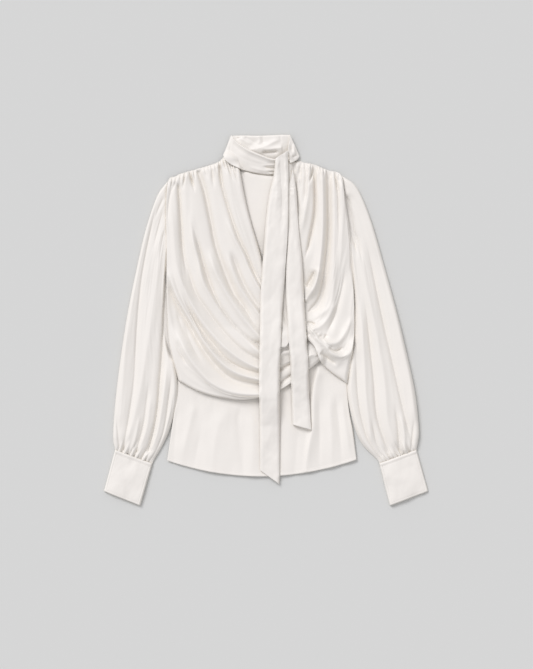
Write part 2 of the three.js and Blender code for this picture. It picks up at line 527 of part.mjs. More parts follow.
// Slants: how far the strip's +X edge runs past its -X edge, down at its end and up at its start.
function tie(name, rows, slant, topSlant) {
  const shares = steps(TIE_SEGMENTS);
  const stops = rows.map((row) => [row.x, row.y, row.width, row.least]);
  const stations = shares.map((share) => through(stops, share));
  const raised = stations.map(([x, y, width, least]) => {
    let height = least;
    for (const side of [-0.5, -0.25, 0, 0.25, 0.5]) {
      const under = restingHeight(x + side * width, y, TIE_REACH + width * 0.12);
      height = Math.max(height, under + PLY_GAP + BAND_WALL);
    }
    return height;
  });
  // A stiff strip bridges the hollows: each station takes the highest of its neighbours, then evens out.
  const bridged = raised.map((_, k) => Math.max(...raised.slice(Math.max(0, k - 2), k + 3)));
  const even = bridged.map((_, k) => {
    const near = bridged.slice(Math.max(0, k - 1), k + 2);
    return Math.max(raised[k], near.reduce((sum, v) => sum + v, 0) / near.length);
  });
  const across = steps(5);
  sheet(name, IVORY_BAND, across.length, stations.length, (i, j) => {
    const [x, y, width] = stations[j];
    const tail = slant * across[i] * ease(0.8, 1, shares[j]);
    const head = topSlant * (across[i] - 0.5) * ease(0.9, 1, 1 - shares[j]);
    return [x + (across[i] - 0.5) * width, y - tail + head, even[j]];
  }, BAND_WALL);
}
tie('tie_short', TIE_SHORT, 11, 0);
tie('tie_long', TIE_LONG, 29, 17);

export default pieces;
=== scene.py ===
"""A wrap blouse laid flat on its back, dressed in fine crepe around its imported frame.

Measures are in millimetres in the frame of the solids: +X to the right as seen from above, +Y towards the
collar and +Z up from the surface. Pieces are built in layers from the surface up, and each new layer rests
on the heights of what lies below it. "Right" and "left" are the wearer's, so the right sleeve lies on the
-X side. Tables hold plain rows, in the order of the named columns above them.
"""

import math
from collections import namedtuple

import bpy
import numpy as np
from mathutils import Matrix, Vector
from numpy.linalg import norm


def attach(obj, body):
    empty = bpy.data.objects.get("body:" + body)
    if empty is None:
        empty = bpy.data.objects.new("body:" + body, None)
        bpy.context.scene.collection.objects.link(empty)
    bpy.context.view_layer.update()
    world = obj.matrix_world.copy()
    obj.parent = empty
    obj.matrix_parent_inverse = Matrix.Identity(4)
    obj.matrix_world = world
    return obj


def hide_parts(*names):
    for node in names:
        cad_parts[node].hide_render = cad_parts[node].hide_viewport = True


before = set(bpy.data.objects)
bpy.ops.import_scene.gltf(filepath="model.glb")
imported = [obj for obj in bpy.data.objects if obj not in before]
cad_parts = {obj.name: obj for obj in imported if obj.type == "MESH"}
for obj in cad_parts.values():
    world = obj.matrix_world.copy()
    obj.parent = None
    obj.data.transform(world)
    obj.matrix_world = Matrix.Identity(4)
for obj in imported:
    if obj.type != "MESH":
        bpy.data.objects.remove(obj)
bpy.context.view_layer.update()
MM = 0.001

# Cloth

PLY = 0.9  # drawn thickness of one ply
BACK_PLY = 1.2
SLEEVE_PLY = 0.8 * PLY
BAND = 1.6  # drawn thickness of the double plies of neck band, ties and cuffs
AIR = 0.5  # air between layers
LOWEST = 0.15  # nothing is drawn lower than this
BACK_TOP = 1.6
ABOVE_BACK = BACK_TOP + 0.2
LOWER_TOP = 4.8


# Curves and surfaces

def through(stops, t):
    """Points at shares t, from 0 to 1, of a smooth line through evenly spaced stops."""
    stops = np.asarray(stops, float)
    last = len(stops) - 1
    place = np.clip(t, 0, 1) * last
    i = np.minimum(last - 1, np.floor(place).astype(int))
    f = (place - i).reshape((-1,) + (1,) * (stops.ndim - 1))
    ends = np.concatenate([[2 * stops[0] - stops[1]], stops, [2 * stops[-1] - stops[-2]]])
    a, b, c, d = ends[i], ends[i + 1], ends[i + 2], ends[i + 3]
    slope_in, slope_out, rest = (c - a) / 2, (d - b) / 2, c - b
    cubed = slope_in + slope_out - 2 * rest
    return b + f * (slope_in + f * (3 * rest - 2 * slope_in - slope_out + f * cubed))


def ease(low, high, value):
    """0 below low, 1 above high, with a smooth rise between them."""
    t = np.clip((np.asarray(value, float) - low) / (high - low), 0, 1)
    return t * t * (3 - 2 * t)


def mix(a, b, t):
    return a + (b - a) * t


def rounded(inward, reach):
    """0 at an edge, 1 further in than reach, along a quarter circle."""
    t = np.clip(inward / reach, 0, 1)
    return np.sqrt(t * (2 - t))


def sloped(inward, reach):
    """0 at an edge, 1 further in than reach, along a slope that starts at once."""
    return np.sin(np.pi / 2 * np.clip(inward / reach, 0, 1))


def groove(distance, at, half_width):
    """1 where distance is at the given value, falling away over half_width to each side."""
    return np.exp(-(((distance - at) / half_width) ** 2))


def fan(lines, us, vs):
    """Plan points of a panel spanned by fold lines: us counts the lines, vs runs along them."""
    along = through(np.swapaxes(np.asarray(lines, float), 0, 1), vs)
    return through(np.swapaxes(along, 0, 1), np.asarray(us) / (len(lines) - 1))


# A fold: x and y of each point that its line passes, its half widths to the left and right of that line, its
# height (below zero for a crease) and the shares of its length over which its ends fade. Left and right are
# meant for a line that runs down the picture. Where it runs across, they are below and above.
Fold = namedtuple("Fold", "path left right rise fade_in fade_out")
TRACE_STEPS = 16  # places on a fold's line for each point of its path
FOLD_REACH = 3.2  # in half widths, how far from its line a fold is worked out
CREASE_ROUND = 0.18  # how much of a crease's half width its rounded bottom takes
CREST_SHARPNESS = 1.6
# A crease deeper than OPEN_DEPTH closes at its bottom to a slit of half width SLIT, which is deeper by
# SLIT_SHARE of what the crease goes beyond OPEN_DEPTH.
OPEN_DEPTH = 9.0
SLIT = 1.6
SLIT_SHARE = 0.8


def folds_height(rows, x, y):
    """Height of all folds at plan points x, y."""
    height = np.zeros_like(x)
    flat = np.stack([x.ravel(), y.ravel()], axis=1)
    for fold in (Fold(*row) for row in rows):
        path = np.reshape(fold.path, (-1, 2))
        trace = through(path, np.linspace(0, 1, TRACE_STEPS * len(path)))
        steps = np.diff(trace, axis=0)
        lengths = norm(steps, axis=1)
        starts = np.concatenate([[0], np.cumsum(lengths)])
        reach = FOLD_REACH * max(fold.left, fold.right)
        low, high = trace.min(axis=0) - reach, trace.max(axis=0) + reach
        near = np.flatnonzero(((flat > low) & (flat < high)).all(axis=1))
        points = flat[near]
        nearest = ((points[:, None, :] - trace[None]) ** 2).sum(axis=2).argmin(axis=1)
        # The line's nearest point lies on the step before its nearest place or on the one after it.
        distance = np.full(len(points), np.inf)
        side = np.zeros(len(points))
        at = np.zeros(len(points))
        for k in (np.maximum(nearest - 1, 0), np.minimum(nearest, len(steps) - 1)):
            away = points - trace[k]
            run = np.clip((away * steps[k]).sum(axis=1) / lengths[k] ** 2, 0, 1)
            gap = norm(away - run[:, None] * steps[k], axis=1)
            turn = np.sign(away[:, 0] * steps[k, 1] - away[:, 1] * steps[k, 0])
            closer = gap < distance
            distance = np.where(closer, gap, distance)
            side = np.where(closer, gap * turn, side)
            at = np.where(closer, starts[k] + run * lengths[k], at)
        share = at / lengths.sum()
        fade = ease(0, fold.fade_in, share) * ease(0, fold.fade_out, 1 - share)
        # The sign is negative to the right of a line that runs down the picture.
        wide = np.where(side < 0, fold.right, fold.left)
        if fold.rise < 0:
            shape = np.exp(CREASE_ROUND - np.hypot(side / wide, CREASE_ROUND))
        else:
            shape = np.exp(-((np.abs(side) / wide) ** CREST_SHARPNESS))
        slit = SLIT_SHARE * max(0, -fold.rise - OPEN_DEPTH) * groove(side, 0, SLIT)
        height.ravel()[near] += fade * (fold.rise * shape - slit)
    return height


# Unevenness of the cloth: how many waves run across and along a panel, and their height
Ripple = namedtuple("Ripple", "across along height")
RIPPLES = [(14, 7, 0.8), (38, 8, 0.5), (70, 9, 0.16)]


def seed(node):
    """What seeds a piece's unevenness: the length of its cloth's name."""
    return len(node + "_cloth")


def ripples(us, vs, rows, start):
    """Smooth noise over a panel, drawn afresh from the seed start."""
    total = np.zeros((len(us), len(vs)))
    draw = np.random.default_rng(start)
    for row in (Ripple(*row) for row in rows):
        lattice = draw.uniform(-1, 1, (row.across + 1, row.along + 1))
        total += row.height * through(through(lattice, us).T, vs).T
    return total


class Pile:
    """Heights of what lies uppermost so far, over a plan grid that takes in the whole blouse."""

    CELL = 2.0
    HALF = (400.0, 440.0)

    def __init__(self):
        self.shape = tuple(int(2 * half / self.CELL) + 1 for half in self.HALF)
        self.height = np.zeros(self.shape)

    def place(self, x, y):
        return (x + self.HALF[0]) / self.CELL, (y + self.HALF[1]) / self.CELL

    def add(self, points):
        i, j = (np.rint(w).astype(int) for w in self.place(points[..., 0].ravel(), points[..., 1].ravel()))
        np.maximum.at(self.height, (i, j), points[..., 2].ravel())

    def under(self, x, y, reach):
        """A softened height above all that is below: the highest within reach, then the mean of those."""
        cells = max(1, int(round(reach / self.CELL)))
        high = self.height
        for axis in (0, 1):
            high = np.max([np.roll(high, k, axis=axis) for k in range(-cells, cells + 1)], axis=0)
        for axis in (0, 1):
            high = np.mean([np.roll(high, k, axis=axis) for k in range(-cells, cells + 1)], axis=0)
        i, j = self.place(x, y)
        i0, j0 = np.floor(i).astype(int), np.floor(j).astype(int)
        fi, fj = i - i0, j - j0
        low = mix(high[i0, j0], high[i0 + 1, j0], fi)
        return mix(low, mix(high[i0, j0 + 1], high[i0 + 1, j0 + 1], fi), fj)


pile = Pile()


# Meshes

def grid_normals(points, wrap):
    if wrap:
        du = np.roll(points, -1, axis=0) - np.roll(points, 1, axis=0)
    else:
        du = np.gradient(points, axis=0)
    dv = np.gradient(points, axis=1)
    normal = np.cross(du, dv)
    normal /= np.maximum(norm(normal, axis=2), 1e-9)[..., None]
    return normal


def make_mesh(name, points, faces, smooth, uvs):
    mesh = bpy.data.meshes.new(name)
    mesh.from_pydata((points * MM).tolist(), [], faces.tolist())
    mesh.polygons.foreach_set("use_smooth", smooth)
    layer = mesh.uv_layers.new(name="cloth")
    layer.data.foreach_set("uv", uvs[faces.ravel()].ravel())
    mesh.validate()
    mesh.update()
    piece = bpy.data.objects.new(name, mesh)
    bpy.context.scene.collection.objects.link(piece)
    return piece


def shell(name, points, thick, wrap, floor):
    """A closed thin shell under a grid of upper points. wrap joins its first and last rows into a tube."""
    across, along = points.shape[:2]
    normal = grid_normals(points, wrap)
    if wrap:
        middle = points.mean(axis=0, keepdims=True)
        turned = ((points - middle) * normal).sum() < 0
    else:
        turned = normal[..., 2].sum() < 0
    if turned:
        normal = -normal
    inner = points - normal * thick
    inner[..., 2] = np.maximum(inner[..., 2], floor)
    count = across * along
    ids = np.arange(count).reshape(across, along)
    if wrap:
        ids = np.concatenate([ids, ids[:1]])
    a, b, c, d = ids[:-1, :-1], ids[1:, :-1], ids[1:, 1:], ids[:-1, 1:]
    outer = np.stack([a, b, c, d], axis=-1).reshape(-1, 4)
    if turned:
        outer = outer[:, ::-1]
    faces = [outer, outer[:, ::-1] + count]
    rims = [(ids[:, 0], True), (ids[:, -1], False)]
    if not wrap:
        rims += [(ids[0], False), (ids[-1], True)]
    for line, backwards in rims:
        rim = np.stack([line[:-1], line[1:], line[1:] + count, line[:-1] + count], axis=1)
        if backwards:
            rim = rim[:, [0, 3, 2, 1]]
        faces.append(rim[:, ::-1] if turned else rim)
    faces = np.concatenate(faces)
    smooth = np.zeros(len(faces), bool)
    smooth[: 2 * len(outer)] = True
    # The cloth's own measures, for its weave: metres across and along the panel
    wide = np.zeros((across, along))
    wide[1:] = np.cumsum(norm(np.diff(points, axis=0), axis=2), axis=0)
    run = np.zeros((across, along))
    run[:, 1:] = np.cumsum(norm(np.diff(points, axis=1), axis=2), axis=1)
    uvs = np.stack([wide, run], axis=-1).reshape(-1, 2) * MM
    both = np.concatenate([points.reshape(-1, 3), inner.reshape(-1, 3)])
    piece = make_mesh(name, both, faces, smooth, np.concatenate([uvs, uvs]))
    pile.add(points)
    return piece


def upright(xy, z):
    """Points from plan points and their heights."""
    return np.concatenate([xy, z[..., None]], axis=-1)


# Materials


WAVE_PERIOD = 0.314  # metres from band to band of a wave texture of scale 1


def constants(node, *values):
    for socket, value in values:
        node.inputs[socket].default_value = value
    return node


def shade(colour, share):
    return tuple(share * channel for channel in colour)


def crepe(name, colour, roughness, weave_pitch, crinkle):
    """Fine silk-like crepe: a plain weave, a pebbled surface and faint unevenness of colour."""
    material = bpy.data.materials.new(name)
    material.use_nodes = True
    nodes, link = material.node_tree.nodes, material.node_tree.links.new

    def node(kind, *values):
        """A new node with constants on its sockets, each given as a name and a value."""
        return constants(nodes.new("ShaderNode" + kind), *values)

    shader = constants(nodes["Principled BSDF"], ("Roughness", roughness), ("Specular IOR Level", 0.32),
                       ("Sheen Weight", 0.12), ("Sheen Roughness", 0.45),
                       ("Sheen Tint", (1.0, 0.97, 0.93, 1.0)))
    place = node("TexCoord")
    clouds = node("TexNoise", ("Scale", 26.0), ("Detail", 4.0))
    link(place.outputs["Object"], clouds.inputs["Vector"])
    tint = node("Mix")
    tint.data_type = "RGBA"
    constants(tint, ("A", (*shade(colour, 0.965), 1.0)), ("B", (*shade(colour, 1.02), 1.0)))
    link(clouds.outputs["Fac"], tint.inputs["Factor"])
    link(tint.outputs["Result"], shader.inputs["Base Color"])

    cloth = node("UVMap")
    cloth.uv_map = "cloth"
    weave = node("Math")
    weave.operation = "MULTIPLY"
    for k, direction in enumerate("XY"):
        threads = node("TexWave", ("Scale", WAVE_PERIOD / (weave_pitch * MM)), ("Distortion", 1.5),
                       ("Detail", 1.0))
        threads.bands_direction = direction
        link(cloth.outputs["UV"], threads.inputs["Vector"])
        link(threads.outputs["Fac"], weave.inputs[k])
    fine = node("Bump", ("Strength", 0.12), ("Distance", 0.15 * MM))
    link(weave.outputs["Value"], fine.inputs["Height"])
    pebble = node("TexNoise", ("Scale", 420.0), ("Detail", 3.0))
    link(place.outputs["Object"], pebble.inputs["Vector"])
    coarse = node("Bump", ("Strength", crinkle), ("Distance", 0.5 * MM))
    link(pebble.outputs["Fac"], coarse.inputs["Height"])
    link(fine.outputs["Normal"], coarse.inputs["Normal"])
    link(coarse.outputs["Normal"], shader.inputs["Normal"])
    return material


IVORY = (0.838, 0.79, 0.711)
BODY_CREPE = crepe("body_crepe", IVORY, 0.5, 0.42, 0.18)
# A 3 % lighter copy of the body crepe for the back and the lower front: painted light that lifts these low
# layers out of the shade cast by the pieces lying over them.
PAINTED_LIGHT_CREPE = crepe("painted_light_crepe", shade(IVORY, 1.03), 0.5, 0.42, 0.18)
BAND_CREPE = crepe("band_crepe", shade(IVORY, 1.01), 0.5, 0.42, 0.14)
THREAD = crepe("thread", shade(IVORY, 0.93), 0.4, 0.3, 0.05)


# Sewing: each piece takes its material and its place in the frame, and stitches run along its seams

STITCH_PITCH = 2.7
STITCH_LONG = 2.0
STITCH_THICK = 0.34
STITCH_RISE = 0.12  # how far a stitch's middle stands over its ends

seams = {}


def line_at(points, distance, value):
    """Where a distance that grows along a grid's first axis reaches value, for each place of the second."""
    distance = np.broadcast_to(distance, points.shape[:2])
    return np.array([[np.interp(value, distance[:, j], points[:, j, k]) for k in range(3)]
                     for j in range(points.shape[1])])


def sew(node, points, thick, material, wrap=False, floor=LOWEST):
    """The cloth of a node, as a shell under a grid of points."""
    piece = shell(node + "_cloth", points, thick, wrap, floor)
    dress(piece, material, node)
    return piece


def stitch(cloth, node, lines, margin):
    """Rows of stitches along lines that lie on a cloth, from margin inside their ends."""
    points, faces = [], []
    for line in lines:
        steps = np.concatenate([[0], np.cumsum(norm(np.diff(line, axis=0), axis=1))])
        for start in np.arange(margin, steps[-1] - margin - STITCH_LONG, STITCH_PITCH):
            stop = start + STITCH_LONG
            ends = [np.array([np.interp(at, steps, line[:, k]) for k in range(3)]) for at in (start, stop)]
            middle = (ends[0] + ends[1]) / 2 + (0, 0, STITCH_RISE)
            along = ends[1] - ends[0]
            side = np.array([-along[1], along[0], 0])
            side *= STITCH_THICK / 2 / norm(side)
            up = np.array([0, 0, STITCH_THICK / 2])
            first = len(points)
            points += [ends[0], ends[1], middle + side, middle + up, middle - side, middle - up]
            for a, b in ((2, 3), (3, 4), (4, 5), (5, 2)):
                faces += [(first, first + b, first + a), (first + 1, first + a, first + b)]
    points = np.array(points)
    name = cloth.name.replace("cloth", "stitches")
    piece = make_mesh(name, points, np.array(faces), np.ones(len(faces), bool), points[:, :2] * MM)
    dress(piece, THREAD, node)
    seams.setdefault(cloth.name, []).append(piece)


def dress(piece, material, node):
    """Gives a piece its material and its place in the frame."""
    piece.data.materials.append(material)
    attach(piece, "root")
    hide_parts(node)


def samples(across, along):
    """Shares from 0 to 1 across and along a panel."""
    return np.linspace(0, 1, across), np.linspace(0, 1, along)


# Back panel, seen through the neck opening

RIGHT_SIDE = {"y": [-292, -189, -132, -103, -38, 4, 80, 150, 242, 286],
              "x": [-201, -184, -177, -182, -195, -199, -200, -202, -202, -201]}
LEFT_SIDE = {"y": [-290, -189, -137, -80, -27, 42, 86, 153, 223, 262, 299],
             "x": [186, 168, 163, 169, 176, 177, 175, 169, 164, 157, 152]}
SHOULDER_LINE = {"x": [-202, -186, -130, -88, -78, 60, 71, 125, 153],
                 "y": [286, 300, 318, 336, 332, 332, 335, 314, 300]}
BACK_SPAN = (-206.0, 157.0)  # from side to side, for the first guess of a point's place
HEM_RIGHT_Y = -292
HEM_LEFT_Y = -290
BACK_SAG = 32
NECK_OPENING = {"y": [128, 231, 300, 314], "right": [-4, -36, -56, -61]}
NECK_OPENING_TOP = {"x": [-60, -20, 14, 30], "y": [316, 307, 303, 303]}
NECK_OPENING_RISE = 5.0


def back_panel():
    us, vs = samples(100, 140)
    u, v = np.meshgrid(us, vs, indexing="ij")
    x = mix(*BACK_SPAN, u)
    top = np.interp(x, SHOULDER_LINE["x"], SHOULDER_LINE["y"])
    hem = mix(HEM_RIGHT_Y, HEM_LEFT_Y, u) - BACK_SAG * 4 * u * (1 - u)
    y = mix(hem, top, v)
    x = mix(np.interp(y, RIGHT_SIDE["y"], RIGHT_SIDE["x"]), np.interp(y, LEFT_SIDE["y"], LEFT_SIDE["x"]), u)
    from_front = x - np.interp(y, NECK_OPENING["y"], NECK_OPENING["right"])
    from_band = np.interp(x, NECK_OPENING_TOP["x"], NECK_OPENING_TOP["y"]) - y
    # The back lifts inside the neck opening, up to just short of the front and the band around it.
    swell = ease(-12, -2, from_front) * ease(-3, 4, from_band) * ease(130, 200, y) * (1 - ease(18, 34, x))
    z = BACK_TOP + NECK_OPENING_RISE * swell
    # The back takes the lighter crepe: painted light against the shade inside the neck opening.
    sew("back", np.stack([x, y, z], axis=-1), BACK_PLY, PAINTED_LIGHT_CREPE)


# Lower front with its curved hem

LOWER_RIGHT_EDGE = [(-188, -60), (-184, -130), (-192, -189), (-199, -237), (-207, -295)]
LOWER_LEFT_EDGE = [(172, -60), (170, -133), (174, -189), (182, -231), (190, -293)]
LOWER_SAG = 34
LOWER_FOLDS = [
    ([-147, -165, -160, -220, -170, -262, -180, -310], 12, 10, 2.5, 0.2, 0.01),
    ([-182, -170, -189, -215, -195, -300], 7, 7, -1.7, 0.3, 0.01),
    ([-136, -225, -143, -265, -153, -315], 8, 8, -1.6, 0.4, 0.01),
    ([-75, -175, -102, -230, -115, -325], 16, 14, 2.2, 0.3, 0.01),
    ([-52, -172, -58, -212, -54, -245, -46, -330], 8, 9, -2.6, 0.25, 0.01),
    ([-29, -185, -29, -250, -30, -332], 14, 12, 2.2, 0.25, 0.01),
    ([69, -215, 66, -250, 60, -325], 9, 9, -2.0, 0.35, 0.01),
    ([115, -92, 104, -125, 99, -165, 98, -220, 90, -262, 83, -320], 5, 12, 5.5, 0.1, 0.01),
    ([107, -98, 95, -130, 91, -165, 90, -205], 6, 5, -3.2, 0.1, 0.5),
    ([112, -140, 112, -220, 113, -318], 7, 7, -2.0, 0.3, 0.01),
    ([133, -150, 137, -240, 139, -312], 10, 8, 2.2, 0.3, 0.01),
    ([145, -150, 151, -200, 157, -262, 159, -305], 6, 6, -2.5, 0.25, 0.01),
    ([158, -160, 166, -220, 173, -262, 180, -300], 8, 6, 2.6, 0.25, 0.01),
]
LOWER_RIPPLES = [(9, 4, 1.1), (24, 8, 0.4), (50, 8, 0.16)]
LOWER_SEED = 3
LOWER_DEEPEST = -1.8
LOWER_SIDE = 7  # how far in the sides round over
LOWER_CROWN = 0.6
HEM_DEPTH = 7.0  # how far the stitched hem reaches up from the edge
HEM_STEP = 0.5  # the height of the step at the hem's top
HEM_REACH = 60  # how far up from the edge the folds are pressed flatter, to HEM_CALM at the edge
HEM_CALM = 0.35


def lower_front():
    us, vs = samples(190, 110)
    u, v = np.meshgrid(us, vs, indexing="ij")
    x, y = np.moveaxis(mix(through(LOWER_RIGHT_EDGE, vs), through(LOWER_LEFT_EDGE, vs), u[..., None]), -1, 0)
    y = y - LOWER_SAG * ease(0.3, 1, v) * 4 * u * (1 - u)
    hem_y = y[:, -1:]
    calm = mix(HEM_CALM, 1.0, ease(0, HEM_REACH, y - hem_y))
    uneven = folds_height(LOWER_FOLDS, x, y) * calm + ripples(us, vs, LOWER_RIPPLES, LOWER_SEED)
    relief = np.maximum(uneven, LOWER_DEEPEST)
    inside = rounded(np.minimum(x - x[:1], x[-1:] - x), LOWER_SIDE)
    # The hem is a second ply with a groove and a stitched step at its top.
    up = np.abs(y - hem_y)
    step = 1 - ease(HEM_DEPTH - 0.8, HEM_DEPTH + 0.8, up) - groove(up, HEM_DEPTH, 0.9)
    z = LOWER_TOP + inside * (relief + LOWER_CROWN) + HEM_STEP * step
    points = np.stack([x, y, z], axis=-1)
    # The lower front takes the lighter crepe: painted light against the shade of the fronts and ties above
    # it.
    piece = sew("lower_front", points, PLY, PAINTED_LIGHT_CREPE, floor=ABOVE_BACK)
    hem = line_at(points[:, ::-1].transpose(1, 0, 2), up[:, ::-1].T, HEM_DEPTH - 1.0)
    stitch(piece, "lower_front", [hem], 3)


# Fronts, spanned by the lines that their folds follow. Columns: where each line passes the seam, the chest,
# the waist, the sweep, the ties and the twist

RIGHT_FRONT_LINES = [
    ((-183, -128), (-140, -150), (-90, -163), (-32, -166), (36, -143), (117, -83)),
    ((-204, -45), (-170, -97), (-124, -133), (-64, -158), (18, -149), (117, -80)),
    ((-208, 36), (-186, -38), (-150, -96), (-92, -146), (2, -152), (117, -76)),
    ((-209, 135), (-189, 55), (-150, -14), (-98, -80), (-10, -121), (116, -70)),
    ((-207.5, 280), (-193, 130), (-162, 22), (-110, -63), (-14, -114), (115, -66)),
    ((-189, 302), (-176, 200), (-163, 62), (-118, -48), (-20, -108), (114, -62)),
    ((-162, 312), (-156, 185), (-118, 45), (-62, -52), (8, -96), (112, -56)),
    ((-143, 317), (-119, 215), (-86, 92), (-38, 5), (28, -66), (110, -50)),
    ((-101, 331), (-80, 235), (-47, 140), (-8, 45), (33, -52), (107, -44)),
    ((-84, 343), (-60, 233), (-28, 135), (4, 46), (36, -32), (103, -32)),
    ((-56, 322), (-38, 231), (-8, 128), (16, 45), (39, -12), (101, -18)),
]
RIGHT_FRONT_FOLDS = [
    # Creases that leave the shoulder: steep on their left, where the next fold stands over them
    ([-184, 290, -181, 240, -175, 150, -163, 76], 3, 4.8, -8.6, 0.06, 0.45),
    ([-144, 316, -130, 274, -116, 208, -105, 154, -84, 94, -68, 57, -44, 23, -16, -22],
     3.4, 5.2, -13.9, 0.02, 0.25),
    ([-161, 312, -156, 294, -150, 270], 2.6, 3, -4.6, 0.05, 0.6),
    ([-99, 326, -91, 278, -74, 219, -57, 170, -41, 137, -27, 104, -4, 58], 3, 3.6, -7.9, 0.03, 0.2),
    ([-76, 146, -57, 100, -36, 60, -8, 20], 3, 3.1, -4.6, 0.2, 0.2),
    ([-188, 290, -199, 268, -204, 236, -206, 196], 3, 3, -3.3, 0.1, 0.5),
    # Creases of the sweep
    ([-206, 92, -194, 52, -180, 24, -158, -15, -132, -60, -102, -98, -68, -124, -14, -136, 24, -138],
     8, 4, -11, 0.1, 0.05),
    ([-176, 62, -162, 27, -135, -20, -111, -50, -84, -81, -51, -101, -14, -111, 20, -112],
     7, 4, -8.1, 0.3, 0.1),
    ([-177, 150, -165, 110, -147, 57, -125, 23, -101, -10, -71, -44, -44, -67, -14, -83, 16, -92],
     7, 4, -8.1, 0.25, 0.1),
    ([-158, 215, -146, 172, -131, 118, -118, 77, -101, 37, -78, 3, -54, -24, -30, -44, -12, -51, 14, -62],
     7, 4, -10.6, 0.25, 0.08),
    ([-78, 148, -64, 124, -51, 84, -34, 50, -14, 23, 6, 2], 5, 4, -5.8, 0.25, 0.1),
    ([-173, -6, -160, -40, -146, -68, -128, -96], 5, 4, -4, 0.3, 0.4),
    ([-186, -40, -176, -74, -164, -98], 5, 4, -3, 0.3, 0.4),
    ([-188, 20, -178, -10, -162, -44], 4, 4, -3, 0.3, 0.4),
    ([-96, 24, -72, -8, -46, -34], 3, 3, -2.5, 0.3, 0.4),
    ([-92, 120, -76, 84, -58, 50], 3, 3, -3, 0.3, 0.4),
    # Crests
    ([-196, 256, -193, 190, -184, 90, -160, 10], 9, 10, 3.8, 0.3, 0.3),
    ([-160, 240, -152, 168, -141, 124, -131, 80, -111, 44, -88, 10, -61, -20, -34, -47, -14, -67, 14, -80],
     6, 7, 7.5, 0.25, 0.08),
    ([-190, 130, -178, 87, -155, 34, -135, 0, -108, -34, -78, -64, -44, -88, -14, -101, 18, -104],
     6, 7, 6.9, 0.25, 0.08),
    ([-121, 152, -108, 107, -88, 67, -68, 34, -44, 0, -14, -34, 12, -50], 6, 7, 7.5, 0.2, 0.08),
    ([-84, 148, -71, 107, -54, 67, -31, 34, -12, 10, 8, -8], 4, 5, 4.5, 0.25, 0.1),
    ([-86, 220, -64, 168, -48, 138, -34, 104, -17, 70, 2, 40], 5, 5, 5.2, 0.25, 0.15),
    ([-207, 116, -192, 62, -168, 17, -145, -20, -125, -50, -95, -87, -61, -111, -14, -124, 22, -124],
     6, 8, 9.4, 0.15, 0.05),
    ([-196, 0, -180, -39, -162, -75, -135, -111, -109, -134, -67, -151, -15, -155, 26, -148],
     8, 10, 10, 0.25, 0.05),
    # Between the ties and beside them, where the front runs into the twist
    ([70, -72, 90, -76, 104, -74, 116, -74], 22, 22, 6.0, 0.3, 0.05),
    ([28, -38, 40, -36, 56, -34], 10, 9, 6.5, 0.2, 0.2),
    ([20, -60, 36, -53, 58, -52], 6, 6, 4.4, 0.1, 0.1),
    ([20, -78, 36, -69, 58, -66], 6, 6, 4.4, 0.1, 0.1),
    ([16, -108, 36, -100, 60, -90], 3.8, 3.6, -7.9, 0.1, 0.1),
    ([18, -137, 36, -127, 58, -113], 3.8, 3.5, -6.6, 0.1, 0.1),
    ([84, -80, 96, -72, 108, -74], 5, 5, 3.3, 0.1, 0.1),
]
LEFT_FRONT_LINES = [
    ((170, -133), (152, -121), (133, -107), (113, -86), (100, -55), (74, -30)),
    ((179.5, -82), (166, -88), (148, -88), (124, -74), (103, -47), (73, -26)),
    ((185.5, -26), (177, -56), (160, -76), (133, -64), (106, -41), (73, -22)),
    ((185.5, 25), (177, -20), (162, -56), (138, -57), (109, -36), (72, -17)),
    ((184, 68), (173, 5), (157, -38), (132, -47), (108, -30), (71, -12)),
    ((181, 112), (166, 95), (153, 42), (133, -16), (108, -22), (70, -7)),
    ((175, 180), (161, 120), (149, 55), (128, 2), (105, -12), (69, -2)),
    ((167, 243), (155, 165), (144, 85), (124, 22), (103, -3), (68, 3)),
    ((157.5, 302), (151, 215), (141, 115), (121, 40), (100, 7), (67, 9)),
    ((131, 314), (131, 225), (127, 128), (114, 58), (96, 24), (66, 18)),
    ((114, 321), (116, 238), (113, 150), (103, 84), (89, 46), (64, 26)),
    ((104, 325), (109, 242), (105, 165), (93, 112), (77, 68), (58, 8)),
    ((88, 329), (92, 250), (84, 178), (71, 116), (57, 56), (45, -52)),
    ((44, 333), (44.5, 262), (42, 190), (35, 110), (28, 44), (23, -56)),
]
